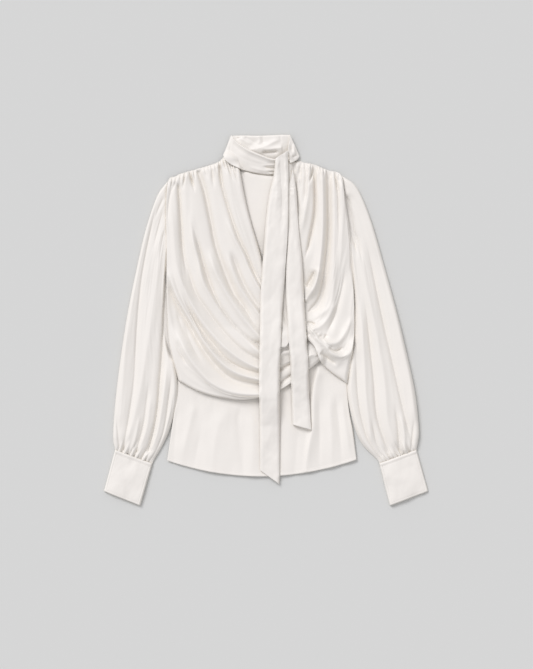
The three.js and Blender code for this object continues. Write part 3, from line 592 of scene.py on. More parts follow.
LEFT_FRONT_FOLDS = [
    ([61, 330, 63, 280, 67, 230, 68, 190], 3, 2.7, -8.6, 0.02, 0.4),
    ([74, 330, 71, 280, 69, 250], 2.6, 2.5, -6, 0.02, 0.5),
    ([85, 330, 82, 260, 77, 225], 3, 3, -6, 0.02, 0.4),
    ([101, 330, 102.5, 284, 102, 225, 91, 165, 80, 122], 2.4, 3.4, -13, 0.02, 0.3),
    ([112, 322, 111, 290, 109, 262], 2.2, 2.2, -3.0, 0.02, 0.5),
    ([130, 318, 131, 262, 131, 190, 125, 116, 112, 44, 84, 12], 2.8, 5.2, -16.2, 0.03, 0.1),
    ([144, 310, 151, 262, 152, 170], 3, 3.1, -5.2, 0.03, 0.5),
    ([168, 120, 158, 60, 142, 4, 122, -36], 6, 6, -5.5, 0.3, 0.2),
    ([104, 106, 95, 86, 85, 66], 5, 4, -10.0, 0.3, 0.2),
    ([128, -28, 121, -38, 110, -30], 4.5, 3, -5.5, 0.3, 0.3),
    ([162, -56, 151, -64, 140, -64, 129, -56], 3.6, 3.2, -6.0, 0.3, 0.2),
    ([104, -10, 94, -6, 84, -6], 2.2, 2.5, -5.2, 0.2, 0.1),
    ([150, -96, 128, -80, 112, -68], 4.5, 2.5, -5.2, 0.3, 0.1),
    ([43, 150, 39, 90, 36, 30, 37, -34], 6, 9, 5.5, 0.2, 0.25),
    ([90, 328, 89, 280, 83, 235, 72, 170], 6, 6, 5.3, 0.05, 0.3),
    ([116, 322, 118, 260, 118, 190, 113, 125, 104, 74, 86, 40], 9, 6.5, 7.5, 0.05, 0.1),
    ([141, 312, 141, 220, 141, 110, 136, 36, 100, -2], 9, 9, 5.3, 0.1, 0.1),
    ([158, 296, 160, 220, 156, 130, 146, 90], 8, 8, 3.7, 0.1, 0.3),
    ([112, 112, 102, 76, 80, 36], 6, 6, 6, 0.2, 0.1),
    ([148, 40, 130, 4, 112, -14, 88, -22], 7, 6, 4.2, 0.2, 0.1),
    ([180, 10, 166, -26, 150, -46, 128, -48, 112, -40, 88, -16], 6, 7, 5.0, 0.2, 0.1),
    ([186, -30, 177, -66, 160, -76, 143, -72, 126, -58, 110, -44, 86, -14], 8, 8, 7.4, 0.15, 0.1),
    ([106, -72, 98, -52, 86, -30], 4, 5, 5.3, 0.2, 0.1),
]
# The wrinkles of the twist: short folds across the roll that comes out from under the tie
LEFT_FRONT_FOLDS += [
    ([(x - 4, y + 7), (x + 1, y), (x + 5, y - 6)], 1.7, 2.3, -2.0, 0.3, 0.3)
    for x, y in [(88, -10), (93, -15), (97, -21), (103, -26), (109, -33), (92, -24), (99, -33)]
]


# Gathers: where a short crease leaves the seam, how far it leans per mm of its length, and its length, depth
# and width, which are then scaled
Gather = namedtuple("Gather", "x lean length depth width")
RIGHT_GATHERS = [
    (-203, -0.1, 14, 2.5, 1.6), (-196, -0.2, 22, 3.0, 1.8), (-187, -0.2, 16, 2.6, 1.6),
    (-179, 0.0, 20, 3.2, 1.8), (-170, -0.12, 30, 4.8, 1.8), (-160, 0.25, 38, 6.0, 2.0),
    (-152, 0.2, 18, 3.4, 1.6), (-136, 0.1, 14, 3.0, 1.6), (-129, 0.25, 24, 3.6, 1.8),
    (-121.5, 0.2, 16, 3.0, 1.6), (-115, 0.12, 44, 4.8, 2.0), (-107, 0.2, 20, 3.4, 1.6),
    (-98, 0.1, 48, 6.4, 2.2), (-90, 0.3, 26, 4.0, 1.8), (-84, 0.35, 40, 4.4, 1.8),
    (-77, 0.4, 20, 5.0, 2.0), (-71, 0.35, 34, 4.0, 1.6), (-65, 0.35, 16, 3.4, 1.5),
]
LEFT_GATHERS = [
    (57, 0.02, 34, 6.0, 2.6), (63, 0.0, 40, 4.4, 1.7), (68.5, 0.0, 20, 3.2, 1.5),
    (75, -0.25, 48, 7.0, 2.3), (82, -0.05, 22, 4.0, 1.6), (88.5, -0.1, 26, 4.2, 1.7),
    (95.5, -0.15, 18, 3.6, 1.5), (102, -0.3, 36, 8.0, 2.3), (108, 0.0, 16, 3.6, 1.5),
    (114.5, 0.0, 26, 4.4, 1.8), (121, 0.02, 18, 3.6, 1.6), (128, 0.02, 24, 4.6, 1.8),
    (136, 0.05, 14, 3.0, 1.5), (145.5, 0.12, 38, 6.0, 1.9), (152, 0.1, 16, 3.0, 1.5),
]
RIGHT_SHOULDER = [(-207, 287), (-184, 303), (-143, 317), (-103, 329), (-88, 338), (-61, 315)]
LEFT_SHOULDER = [(48, 331), (64, 334), (96, 328), (114, 321), (131, 314), (157, 301)]


GATHER_LENGTH = 1.3
GATHER_DEPTH = 1.45
GATHER_WIDTHS = (0.85, 1.2)  # to the left and right
RIDGE_WIDTH = 2.2
RIDGE_RISE = 1.8
GATHER_FADE = 0.7


def gathers(rows, seam):
    """The short creases that run out of a seam, and between them the ridges that they leave."""
    made = []
    rows = [Gather(*row) for row in rows]
    for row in rows:
        y = float(np.interp(row.x, *zip(*seam)))
        length = GATHER_LENGTH * row.length
        foot = row.x + row.lean * length
        path = [(row.x - row.lean * 4, y + 4), (mix(row.x, foot, 0.5), y - length * 0.5), (foot, y - length)]
        left, right = (row.width * share for share in GATHER_WIDTHS)
        made.append(Fold(path, left, right, -GATHER_DEPTH * row.depth, 0.02, GATHER_FADE))
    for row, beside in zip(rows, rows[1:]):
        x = (row.x + beside.x) / 2
        y = float(np.interp(x, *zip(*seam)))
        length = 0.5 * (row.length + beside.length)
        lean = row.lean * length
        path = [(x, y + 3), (x + lean * 0.5, y - length * 0.5), (x + lean, y - length)]
        made.append(Fold(path, RIDGE_WIDTH, RIDGE_WIDTH, RIDGE_RISE, 0.05, GATHER_FADE))
    return made


RIGHT_FRONT_FOLDS += gathers(RIGHT_GATHERS, RIGHT_SHOULDER)
LEFT_FRONT_FOLDS += gathers(LEFT_GATHERS, LEFT_SHOULDER)


ARMHOLE_BOTTOM = 105  # where the armhole ends
ARMHOLE_FADE = 50
ARMHOLE_LOW = 6.4  # how high a front's edge stands beside the sleeve below the armhole
BUNCHING = 0.012  # how far lines move towards a front's long edges, which round over
EDGE_REACH = 5  # how far around itself a front feels what lies below, at its edges and further in
BRIDGE_REACH = 22
TOWARDS_TWIST = (0.5, 0.95)  # the share of the lines' length over which the twist takes over
TWIST_CALM = 0.3  # how much of the unevenness is left in the twist
LEAST_BODY = 0.3


def front(node, lines, folds, stand, twist_lift, edges, sleeve_lines, seam_top, size):
    """A gathered front. Its edges round over: each gives its reach and the share of the height that it keeps.

    stand is its height over what lies below, twist_lift what the twist adds to that, and seam_top the height
    of the armhole seam, which the first sleeve_lines lines cross.
    """
    us, vs = samples(*size)
    spread = us - BUNCHING * np.sin(2 * np.pi * us)
    plan = fan(lines, spread * (len(lines) - 1), vs)
    x, y = plan[..., 0], plan[..., 1]
    borders = {"first": plan[:1], "last": plan[-1:], "seam": plan[:, :1]}
    away = {edge: norm(plan - border, axis=2) for edge, border in borders.items()}
    rise = np.ones(x.shape)
    for edge, reach, kept in edges:
        shape = sloped if edge == "seam" else rounded
        rise = np.minimum(rise, mix(kept, 1.0, shape(away[edge], reach)))
    # Near its free edges a front follows what it lies on, and further in it bridges it.
    free = np.minimum(away["first"], away["last"])
    below = mix(pile.under(x, y, EDGE_REACH), pile.under(x, y, BRIDGE_REACH), ease(4, 34, free))
    below = np.maximum(below, BACK_TOP)
    twist = ease(*TOWARDS_TWIST, vs[None, :])
    calm = mix(1.0, TWIST_CALM, twist)
    relief = folds_height(folds, x, y) + ripples(us, vs, RIPPLES, seed(node)) * calm
    body = (stand + twist_lift * twist) * rise + relief * np.sqrt(rise)
    z = below + AIR + PLY + np.maximum(LEAST_BODY, body)
    by_sleeve = 1 - ease(sleeve_lines - 0.2, sleeve_lines + 0.6, us * (len(lines) - 1))[:, None]
    lap = mix(ARMHOLE_LOW, seam_top, ease(ARMHOLE_BOTTOM, ARMHOLE_BOTTOM + ARMHOLE_FADE, y))
    z = np.maximum(z, by_sleeve * mix(lap, 0, ease(2, 9, away["seam"])))
    sew(node, upright(plan, z), PLY, BODY_CREPE, floor=ABOVE_BACK)


# Sleeves: flattened tubes, as stations from the armhole to the cuff seam, with each station's share of the
# length, the height of the upper layer there, and the outer and inner edge

SLEEVE_SHARES = [0, 0.08, 0.2, 0.35, 0.5, 0.65, 0.78, 0.9, 0.95, 0.985, 1]
SLEEVE_HIGH = [9, 10, 10.5, 11, 12, 13, 14, 14, 12.5, 10, 3.8]
RIGHT_SLEEVE = [
    [(-205.5, 292), (-228, 260), (-252, 190), (-274, 95), (-293, -2), (-307, -97), (-316, -172),
     (-320.5, -235), (-320, -254), (-317.2, -269), (-317.6, -278)],
    [(-206, 150), (-207, 128), (-207.5, 90), (-207, 30), (-204.4, -32), (-188, -92), (-184, -150),
     (-199.5, -222), (-216, -261), (-235.5, -294), (-239.8, -306.4)],
]
LEFT_SLEEVE = [
    [(157.5, 303.5), (190, 278), (219, 212), (248, 113), (275, 14), (297, -78), (313, -155), (320.5, -228),
     (319, -253), (316.2, -269), (316.6, -278)],
    [(175.4, 153), (178, 128), (181, 90), (183.8, 30), (181, -32), (173.5, -92), (170, -150), (184.4, -222),
     (203, -262), (234.6, -294), (238.8, -306.4)],
]
RIGHT_SLEEVE_FOLDS = [
    ([-226, 252, -241, 190, -260, 90, -270, -10, -276, -120, -286, -200, -300, -276],
     3.2, 5, -3.9, 0.15, 0.01),
    ([-214, 236, -226, 190, -238, 140], 3.2, 4.5, -2.8, 0.2, 0.5),
    ([-212, 190, -220, 150, -226, 110], 2.4, 3.6, -2.1, 0.2, 0.5),
    ([-212, 262, -224, 236, -236, 206], 2.4, 3.6, -2, 0.2, 0.5),
    ([-244, -120, -252, -190, -259, -232, -272, -278], 3.2, 4.3, -3.7, 0.3, 0.01),
    ([-211, 70, -213, 10, -217, -50, -222, -120, -230, -205, -248, -280], 3.6, 7, -8.5, 0.15, 0.01),
    ([-196, -100, -203, -160, -215, -236, -238, -290], 2.8, 4.5, -4.3, 0.3, 0.2),
    ([-192, -150, -199, -200, -212, -245], 2.4, 3, -2.1, 0.3, 0.3),
    ([-314, -195, -310, -235, -306, -276], 2.4, 3.6, -2.8, 0.4, 0.01),
    ([-218, 240, -226, 110, -240, 0, -258, -120, -276, -205, -294, -262], 8, 9, 2.8, 0.2, 0.05),
    ([-262, 130, -284, 20, -298, -110, -304, -230], 8, 9, 2.4, 0.3, 0.1),
    ([-240, -150, -250, -228, -268, -276], 5, 5, 2.6, 0.3, 0.02),
    ([-206, -70, -213, -150, -228, -238, -244, -280], 6, 5, 3.2, 0.3, 0.05),
    ([-263, -195, -270, -235, -280, -276], 4, 4, 2.4, 0.3, 0.02),
]
LEFT_SLEEVE_FOLDS = [
    ([167, 266, 171, 236, 178, 200, 185, 166, 194, 124], 5, 5.5, -12, 0.12, 0.45),
    ([203, 60, 212, 0, 225, -120, 233, -205, 258, -280], 3.4, 6, -6, 0.25, 0.01),
    ([208, 175, 224, 100, 245, 0, 263, -80, 283, -170, 306, -262], 3.8, 6, -5.7, 0.2, 0.1),
    ([268, -170, 276, -222, 280, -282], 3, 4.5, -4.8, 0.4, 0.01),
    ([188, -40, 190, -120, 197, -190, 214, -250, 240, -290], 3, 5, -4.5, 0.35, 0.01),
    ([219, -200, 232, -258, 246, -290], 3, 4, -4.2, 0.4, 0.01),
    ([310, -205, 306, -250, 303, -278], 2.5, 3.5, -3.6, 0.4, 0.01),
    ([186, 190, 196, 150, 204, 110], 3.4, 4, -2.7, 0.3, 0.5),
    ([196, 180, 206, 90, 225, 0, 246, -120, 256, -220, 276, -274], 8, 8, 3.9, 0.25, 0.05),
    ([196, 60, 204, -60, 210, -170, 222, -270], 6, 6, 3.3, 0.3, 0.1),
    ([240, 130, 270, 20, 298, -110, 312, -220], 9, 8, 3.3, 0.3, 0.1),
    ([280, -190, 288, -232, 290, -276], 5, 5, 3.6, 0.35, 0.02),
]


# Gathers at the cuff: share of the seam from its outer end, length, lean per mm, half width, and depth, which
# is negative for a ridge
CuffGather = namedtuple("CuffGather", "share length lean wide depth")
CUFF_GATHERS = [
    (0.05, 16, 0.1, 1.8, 3.0), (0.11, 34, -0.05, 2.4, -2.2), (0.17, 24, 0.06, 2.0, 4.6),
    (0.24, 40, 0.1, 2.4, -2.4), (0.31, 18, 0.12, 1.8, 4.0), (0.36, 46, 0.2, 2.2, 4.4),
    (0.42, 22, 0.05, 2.2, -2.6), (0.48, 30, 0.16, 2.0, 4.8), (0.55, 36, 0.22, 2.6, -2.6),
    (0.6, 15, 0.0, 1.7, 3.4), (0.67, 42, 0.2, 2.2, 4.8), (0.73, 26, 0.3, 2.4, -2.6),
    (0.79, 20, 0.1, 1.8, 4.0), (0.87, 34, 0.34, 2.2, 3.8), (0.94, 18, 0.3, 1.8, 3.0),
]


def cuff_gathers(outer, inner, rows):
    """The short folds that run up a sleeve out of its cuff seam."""
    outer, inner = np.array(outer, float), np.array(inner, float)
    across = (inner - outer) / norm(inner - outer)
    up = np.array([-across[1], across[0]])
    if up[1] < 0:
        up = -up
    made = []
    for row in (CuffGather(*row) for row in rows):
        foot = mix(outer, inner, row.share)
        top = foot + up * row.length + across * row.lean * row.length
        path = [tuple(top), tuple(mix(top, foot, 0.5) + across), tuple(foot - up * 6)]
        made.append(Fold(path, row.wide, row.wide * 1.2, -row.depth, 0.7, 0.01))
    return made


RIGHT_SLEEVE_FOLDS += cuff_gathers((-316.4, -273), (-238.4, -301.7), CUFF_GATHERS)
LEFT_SLEEVE_FOLDS += cuff_gathers((315.4, -273), (237.4, -301.7), CUFF_GATHERS)
SLEEVE_RIPPLES = [(9, 9, 0.6), (30, 14, 0.25)]
SLEEVE_SEED = 11
SLEEVE_LOW = 0.9  # where the lower layer lies
SLEEVE_LEAST = 2.5  # the least height of the upper layer
SLEEVE_OUTER_SHARE = 0.32  # the share of its height at which a sleeve's outer edge lies
SLEEVE_INNER_EDGE = 2.6  # height of the inner edge
SLEEVE_LOW_EDGE = 3.7  # the same below the pocket
SLEEVE_HEAD = 4.6  # height of the seam at the sleeve's head
# The hollow that a sleeve leaves beside the front, from top to bottom. The left sleeve has none, but its edge
# still changes at the bottom.
Pocket = namedtuple("Pocket", "top bottom strength")
RIGHT_POCKET = Pocket(85, -68, 1.0)
LEFT_POCKET = Pocket(120, -50, 0.0)


def around(shares):
    """Shares across a flattened tube, closer at its edges, and back again over fewer for the lower layer."""
    upper = 0.5 - 0.5 * np.cos(np.pi * shares)
    return upper, upper[::-3][1:-1]


def sleeve(node, edges, folds, pocket, head_low):
    """A sleeve whose head lies lower by head_low."""
    across, along = samples(150, 150)
    outer, inner = (np.array(edge, float) for edge in edges)
    stations = np.column_stack([outer, inner, SLEEVE_HIGH])
    rows = through(stations, np.interp(along, SLEEVE_SHARES, np.linspace(0, 1, len(stations))))
    outer, inner, high = rows[:, :2], rows[:, 2:4], rows[:, 4]
    width = norm(inner - outer, axis=1)[None]
    rings = []
    upper, lower = around(across)
    for t, top in ((upper, True), (lower, False)):
        plan = mix(outer[None], inner[None], t[:, None, None])
        outside, inside = t[:, None] * width, (1 - t)[:, None] * width
        y = plan[..., 1]
        lower_part = 1 - ease(pocket.bottom - 20, pocket.bottom, y)
        inner_edge = mix(SLEEVE_INNER_EDGE, SLEEVE_LOW_EDGE, lower_part)
        fold_edge = mix(SLEEVE_OUTER_SHARE * high, inner_edge, ease(0.3, 0.7, t)[:, None])
        if top:
            # The upper layer rounds over at its outer edge, and slopes down to the body on its inner side.
            in_pocket = ease(pocket.bottom - 25, pocket.bottom + 10, y)
            in_pocket = in_pocket * (1 - ease(pocket.top - 15, pocket.top + 35, y))
            inner_slope = mix(sloped(inside, 20), sloped(inside, 10), lower_part)
            inner_slope = mix(inner_slope, ease(6, 14, inside), in_pocket * pocket.strength)
            edge = np.minimum(rounded(outside, 9), inner_slope)
            relief = folds_height(folds, plan[..., 0], y) + ripples(t, along, SLEEVE_RIPPLES, SLEEVE_SEED)
            crest = np.maximum(SLEEVE_LEAST, high[None] + relief)
            # The sleeve's head slopes down to its seam, which lies under the front.
            from_seam = norm(plan - plan[:, :1], axis=2)
            z = mix(fold_edge, mix(SLEEVE_HEAD - head_low, crest, sloped(from_seam, 16)), edge)
        else:
            z = mix(fold_edge, SLEEVE_LOW, rounded(np.minimum(outside, inside), 5))
        rings.append(upright(plan, z))
    sew(node, np.concatenate(rings), SLEEVE_PLY, BODY_CREPE, wrap=True)


# Cuffs

RIGHT_CUFF = {"top": [(-317, -273.5), (-238.8, -302.3)], "bottom": [(-340, -359), (-264, -389)]}
LEFT_CUFF = {"top": [(316, -273.5), (237.8, -302.3)], "bottom": [(340, -359), (260, -389)]}
CUFF_HIGH = 7.4
CUFF_EDGE = 2.6  # height of the side edges
CUFF_LOW = 0.9  # where the lower layer lies
CUFF_CROWN = 2.0
CUFF_RIPPLES = [(3, 3, 1.6), (8, 6, 0.55), (22, 16, 0.12)]
CUFF_LAP = 2.0  # how far the cuff reaches up over the end of the gathers
CUFF_SEAM = 7.0  # how wide the raised band below the gathers is
CUFF_STITCH = 5.0  # how far in from the edges the stitching runs
CUFF_SEAM_STITCH = 8.4  # the same from the top


def cuff(node, corners):
    across, along = samples(90, 60)
    top, bottom = (np.array(corners[key], float) for key in ("top", "bottom"))
    top = top - (bottom - top) * CUFF_LAP / norm(bottom - top, axis=1)[:, None]
    length = norm(bottom[0] - top[0])
    width = norm(top[1] - top[0])
    down = along[None] * length
    rings = []
    upper, lower = around(across)
    for t, is_top in ((upper, True), (lower, False)):
        ends = mix(top[0], top[1], t[:, None]), mix(bottom[0], bottom[1], t[:, None])
        plan = mix(ends[0][:, None], ends[1][:, None], along[None, :, None])
        side = np.minimum(t, 1 - t)[:, None] * width
        edge = rounded(side, 3.5)
        if is_top:
            # The seam makes a raised band below the gathers, and stitching runs round the cuff.
            z = mix(CUFF_EDGE, CUFF_HIGH, edge) + 0 * down
            z = z + 1.2 * (1 - ease(CUFF_SEAM - 1.8, CUFF_SEAM, down)) * edge
            z = z - 0.3 * groove(down, CUFF_SEAM + 0.2, 1.3)
            z = z + CUFF_CROWN * np.sin(np.pi * t)[:, None] * np.sin(np.pi * along)[None] ** 0.6
            z = z + ripples(t, along, CUFF_RIPPLES, seed(node)) * edge
            stitched = groove(np.minimum(side, length - down), CUFF_STITCH, 0.9)
            z = z - 0.45 * stitched * (down > CUFF_SEAM)
            z = z - 1.4 * (1 - rounded(length - down, 2.5)) - 1.6 * (1 - rounded(down, 2.0))
        else:
            z = mix(CUFF_EDGE, CUFF_LOW, edge) + 0 * down
        rings.append(upright(plan, z))
    piece = sew(node, np.concatenate(rings), BAND, BAND_CREPE, wrap=True)
    upside = rings[0].transpose(1, 0, 2)
    rows = [line_at(upside, down.T, at) for at in (CUFF_SEAM_STITCH, length - CUFF_STITCH)]
    rows += [line_at(rings[0], upper[:, None] * width, at) for at in (CUFF_STITCH, width - CUFF_STITCH)]
    stitch(piece, node, rows, 5)


# Neck band: places on its lower and on its upper edge, with their heights

NECK_BACK = [
    ((-85, 338.5, 2.8), (-70, 387, 8)), ((-58, 333, 2.6), (-44, 387.5, 9)),
    ((-20, 332.8, 2.6), (-16, 387, 9)), ((20, 332.8, 2.6), (14, 388, 9)),
    ((48, 333.5, 2.8), (34, 389, 9)), ((68, 340, 4.0), (49, 388.6, 8)),
]
NECK_FRONT = [
    ((-90, 345, 5), (-73, 387.5, 8)), ((-81, 330, 6), (-60, 372, 13)),
    ((-52, 315.5, 8), (-36, 357, 18)), ((-20, 307.5, 9), (-10, 345.5, 19)),
    ((4, 304.5, 9), (9, 338.5, 18)), ((21, 306, 9), (24, 337, 14)),
]
NECK_TURN = [
    ((70.5, 343, 6), (50, 388.4, 8)), ((66, 336, 8), (48, 374, 11)),
    ((58, 331, 10), (46.5, 362, 15)), ((50, 328, 10), (46, 352, 16)),
]
NECK_BACK_FOLDS = [
    ([-70, 352, -40, 350, 0, 352, 48, 354], 20, 18, 4.5, 0.15, 0.15),
    ([-67, 388, -60, 381, -50, 384], 3, 3, -3.0, 0.1, 0.3),
    ([-60, 384, -40, 372, -28, 366], 4, 4, 1.8, 0.2, 0.3),
    ([-46, 384, -28, 374, -20, 366], 3, 4, -2.0, 0.2, 0.3),
    ([-16, 388, -13, 376, -16, 366], 3, 4, 2.0, 0.1, 0.3),
    ([-8, 386, -6, 374, -10, 368], 3, 3, -1.5, 0.2, 0.3),
    ([-40, 356, -20, 358, 0, 364, 20, 374, 34, 376], 6, 6, 3.0, 0.2, 0.2),
    ([-12, 350, 4, 350, 18, 351, 28, 353], 4, 3.4, -4.2, 0.3, 0.2),
    ([-14, 357, 4, 357, 20, 359, 36, 361], 5, 5, 3.0, 0.3, 0.1),
    ([31, 388, 30, 378, 33, 370], 3, 3, -1.0, 0.1, 0.3),
]
NECK_FRONT_FOLDS = [
    ([-71, 383, -59, 369, -37, 353, -10, 341.5, 9, 334.5, 24, 333], 2.6, 2.6, 2.8, 0.02, 0.02),
    ([-74, 374, -60, 360, -38, 345, -12, 334, 9, 327, 24, 325], 4, 4, -1.2, 0.1, 0.02),
    ([-66, 350, -46, 337, -20, 328, 6, 324], 4, 4, -0.8, 0.3, 0.2),
    ([-40, 322, -10, 313, 16, 312], 4, 4, 1.6, 0.3, 0.1),
    ([-8, 320, 6, 319, 22, 317], 2.2, 2.6, -5.0, 0.5, 0.02),
    ([0, 311, 10, 310, 22, 309], 1.8, 1.8, -3.4, 0.5, 0.02),
    ([-12, 324, 6, 323, 22, 326], 2.5, 2.5, 1.6, 0.6, 0.02),
    ([-84, 372, -78, 356, -82, 342], 4, 4, -1.4, 0.2, 0.3),
]
NECK_TURN_FOLDS = [
    ([56, 384, 55, 368, 53, 350], 3, 3.5, -1.6, 0.05, 0.2),
    ([60, 374, 59, 356, 55, 338], 5, 5, 2.4, 0.1, 0.2),
    ([70, 350, 63, 344, 54, 341], 2.2, 2.2, -2.6, 0.2, 0.1),
]
NECK_RIPPLES = [(8, 3, 0.7), (16, 5, 0.25)]
NECK_CROWN = 0.8
NECK_RIM = 2.6  # how far the folded upper edge rolls over


def neck_piece(node, rows, folds, size, rests):
    """A stretch of the band. One that rests on the fronts rolls over at both edges, and the other one's upper
    edge goes down to the surface."""
    along, across = samples(*size)
    rows = through([lower + upper for lower, upper in rows], along)
    lower, upper = rows[:, None, :3], rows[:, None, 3:]
    points = mix(lower, upper, across[None, :, None])
    x, y, z = points[..., 0], points[..., 1], points[..., 2]
    t = across[None]
    width = norm(upper[..., :2] - lower[..., :2], axis=2)
    to_rim = (1 - t) * width
    edge = rounded(np.minimum(t, 1 - t) * width, 3.5)
    z = z - 1.6 * (1 - edge) * rests + folds_height(folds, x, y) + NECK_CROWN * np.sin(np.pi * t)
    z = z + ripples(along, across, NECK_RIPPLES, seed(node))
    if rests:
        z = z - NECK_RIM * (1 - rounded(to_rim, 4.5))
    else:
        z = mix(BAND + 0.4, z, rounded(to_rim, 5))
    z = np.maximum(z, pile.under(x, y, 4) + AIR + BAND)
    sew(node, np.stack([x, y, z], axis=-1), BAND, BAND_CREPE, floor=2 * LOWEST)


# Tie ends: stations down the strip. Columns: y and x of the middle, the width and the least height

TIE_LONG = [
    (345, 32.8, 26.5, 14), (302, 31.5, 32, 14), (260, 26.5, 41, 12), (200, 22.5, 48, 12),
    (120, 17, 49, 14), (40, 12, 48, 14), (-40, 9, 45, 14), (-120, 7, 44, 18), (-200, 7.5, 43, 13),
    (-260, 8, 41.5, 9.5), (-315, 8, 41, 7),
]
TIE_SHORT = [
    (314, 56, 1.5, 6), (296, 55.5, 8, 7), (280, 55, 14, 8), (260, 54.5, 20, 9), (200, 55.5, 24, 12),
    (120, 59, 34, 13), (40, 61, 38, 14), (-40, 66, 38.5, 18), (-100, 70, 38, 16), (-160, 72, 38.5, 11.5),
    (-219, 75, 39.5, 8),
]
TIE_RIPPLES = [(2, 14, 1.3), (4, 44, 0.7), (9, 110, 0.2)]
TIE_EDGE_KEPT = 0.12  # the share of its height over the cloth that the very edge of a tie keeps
TIE_SHORT_FOLDS = [
    ([57, 320, 52, 280, 50, 230, 54, 150], 3, 5, -2.0, 0.05, 0.5),
    ([56, 100, 58, 20, 62, -60, 72, -140], 10, 12, -1.2, 0.3, 0.3),
]
TIE_LONG_FOLDS = [
    ([31, 346, 33, 300, 34, 240, 28, 150], 3, 9, -3.2, 0.05, 0.6),
    ([24, 340, 24, 300, 22, 250, 14, 190], 6, 6, 1.6, 0.1, 0.5),
    ([40, 330, 44, 280, 45, 230], 3, 3, 1.4, 0.1, 0.5),
    ([14, 120, 10, 20, 6, -100, 4, -220], 12, 12, -1.0, 0.3, 0.3),
]


TIE_EDGE = 2.5  # how far in the edges round over
TIE_SAG = 8  # how far in the edges sag
TIE_CROWN = 1.8
TIE_DEEPEST = -1.6
TIE_STITCH = 2.6
TIE_SPANS = 26  # a tie bridges one of this many parts of its length to each side
STITCHED_WIDTH = 12  # where a tie is narrower, its stitches don't show


def spread_out(line, reach, of):
    """What of gives for the stretch of a line within reach of each of its places."""
    padded = np.pad(line, reach, mode="edge")
    return np.array([of(padded[k:k + 2 * reach + 1]) for k in range(len(line))])


def tie(node, rows, slant, top_slant, folds):
    """A hanging end of the band. slant is how far its cut drops from side to side, top_slant its top."""
    across, along = samples(42, 270)
    y, x, width, least = through(rows, along).T
    t = across[:, None]
    xs = x[None] + (t - 0.5) * width[None]
    ys = y[None] - slant * t * ease(0.8, 1, along)[None]
    ys = ys + top_slant * (t - 0.5) * ease(0.9, 1, 1 - along)[None]
    # The strip is stiff across and bridges the hollows along its length.
    line = np.maximum(pile.under(xs, ys, 4).max(axis=0) + AIR + BAND, least)
    reach = max(2, len(along) // TIE_SPANS)
    high = spread_out(spread_out(line, reach, np.max), reach, np.mean)
    inset = np.minimum(t, 1 - t) * width[None]
    edge = rounded(inset, TIE_EDGE)
    relief = folds_height(folds, xs, ys) + ripples(across, along, TIE_RIPPLES, seed(node))
    z = high[None] + np.maximum(relief, TIE_DEEPEST) * edge - 0.7 * (1 - edge) + TIE_CROWN
    # Its edges sag towards the cloth below.
    lowest = pile.under(xs, ys, 2) + AIR + BAND + 0.2
    z = np.maximum(lowest, mix(mix(lowest, z, TIE_EDGE_KEPT), z, rounded(inset, TIE_SAG)))
    # Pressed edges with a line of stitching just inside them
    z = z - 0.3 * groove(inset, TIE_STITCH, 0.7)
    points = np.stack([xs, ys, z], axis=-1)
    piece = sew(node, points, BAND, BAND_CREPE)
    from_left = t * width[None]
    rows = [line_at(points, from_left, TIE_STITCH),
            line_at(points[::-1], (width[None] - from_left)[::-1], TIE_STITCH)]
    stitch(piece, node, [row[width > STITCHED_WIDTH] for row in rows], 4)


# Build from the surface up

back_panel()
lower_front()
front("front_right", RIGHT_FRONT_LINES, RIGHT_FRONT_FOLDS, stand=11.0, twist_lift=-4.0,
      edges=[("first", 9, 0.25), ("last", 9, 0.12), ("seam", 11, 0.25)],
      sleeve_lines=4, seam_top=6.2, size=(230, 195))
front("front_left", LEFT_FRONT_LINES, LEFT_FRONT_FOLDS, stand=9.5, twist_lift=-5.5,
      edges=[("first", 8, 0.3), ("last", 4, 0.6), ("seam", 10, 0.25)],
      sleeve_lines=8, seam_top=10.5, size=(225, 180))
sleeve("sleeve_right", RIGHT_SLEEVE, RIGHT_SLEEVE_FOLDS, RIGHT_POCKET, 0)
sleeve("sleeve_left", LEFT_SLEEVE, LEFT_SLEEVE_FOLDS, LEFT_POCKET, 0.6)
cuff("cuff_right", RIGHT_CUFF)
cuff("cuff_left", LEFT_CUFF)
neck_piece("neck_back", NECK_BACK, NECK_BACK_FOLDS, (120, 60), rests=0)
neck_piece("neck_front", NECK_FRONT, NECK_FRONT_FOLDS, (130, 60), rests=1)
neck_piece("neck_turn", NECK_TURN, NECK_TURN_FOLDS, (60, 50), rests=1)
tie("tie_short", TIE_SHORT, 11, 0, TIE_SHORT_FOLDS)
tie("tie_long", TIE_LONG, 29, 17, TIE_LONG_FOLDS)


# Columns for what a cloth was cut to, in metres, before it was sewn and laid out: the part of the cut that
# shows. No cloth is given a row of them.
Cut = namedtuple("Cut", "cloth width length area held rests_on")


# Surroundings, light and camera

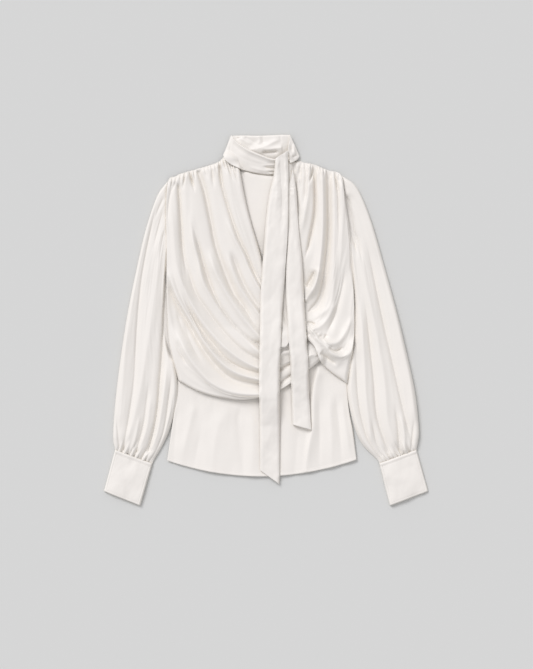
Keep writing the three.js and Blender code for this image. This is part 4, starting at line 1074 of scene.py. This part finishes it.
KEY_FROM = (-0.72, 1.02, 1.1)  # where the key light comes from: the upper left of the picture
KEY_SPREAD = 24.0  # degrees
KEY_STRENGTH = 1.82
SKY_STRENGTH = 0.66
LIGHT_TINT = (0.98, 0.99, 1.058)  # a little cool, so that light that goes from fold to fold looks warm
FLOOR_GREY = 0.645
FLOOR_LOW = -0.0002  # metres, just below what lies on it
MM_PER_PIXEL = 2.1
PICTURE_HEIGHT = 669
PICTURE_MIDDLE = (266.5, 334.5)
ORIGIN_PIXEL = (266, 320)  # where the frame's origin is in the picture
CAMERA_HIGH = 3.0  # metres
SENSOR = 36


def surroundings():
    bpy.ops.mesh.primitive_plane_add(size=8, location=(0, 0, FLOOR_LOW))
    floor = bpy.context.object
    floor.name = "floor"
    paint = bpy.data.materials.new("floor_paint")
    paint.use_nodes = True
    shader = paint.node_tree.nodes["Principled BSDF"]
    shader.inputs["Base Color"].default_value = tuple(FLOOR_GREY / tint for tint in LIGHT_TINT) + (1,)
    shader.inputs["Roughness"].default_value = 0.9
    shader.inputs["Specular IOR Level"].default_value = 0.1
    floor.data.materials.append(paint)

    world = bpy.data.worlds.new("studio")
    bpy.context.scene.world = world
    world.use_nodes = True
    sky = world.node_tree.nodes["Background"]
    sky.inputs["Color"].default_value = (*LIGHT_TINT, 1)
    sky.inputs["Strength"].default_value = SKY_STRENGTH

    lamp = bpy.data.lights.new("key", "SUN")
    lamp.angle = math.radians(KEY_SPREAD)
    lamp.energy = KEY_STRENGTH
    lamp.color = LIGHT_TINT
    key = bpy.data.objects.new("key", lamp)
    key.rotation_euler = (-Vector(KEY_FROM)).to_track_quat("-Z", "Y").to_euler()
    bpy.context.scene.collection.objects.link(key)

    camera = bpy.data.cameras.new("camera")
    camera.sensor_fit = "VERTICAL"
    camera.sensor_height = SENSOR
    camera.lens = SENSOR * CAMERA_HIGH / (PICTURE_HEIGHT * MM_PER_PIXEL * MM)
    eye = bpy.data.objects.new("camera", camera)
    right = (PICTURE_MIDDLE[0] - ORIGIN_PIXEL[0]) * MM_PER_PIXEL
    up = (ORIGIN_PIXEL[1] - PICTURE_MIDDLE[1]) * MM_PER_PIXEL
    eye.location = (right * MM, up * MM, CAMERA_HIGH)
    bpy.context.scene.collection.objects.link(eye)
    bpy.context.scene.camera = eye
    bpy.context.scene.view_settings.view_transform = "Standard"


surroundings()

bpy.context.view_layer.update()
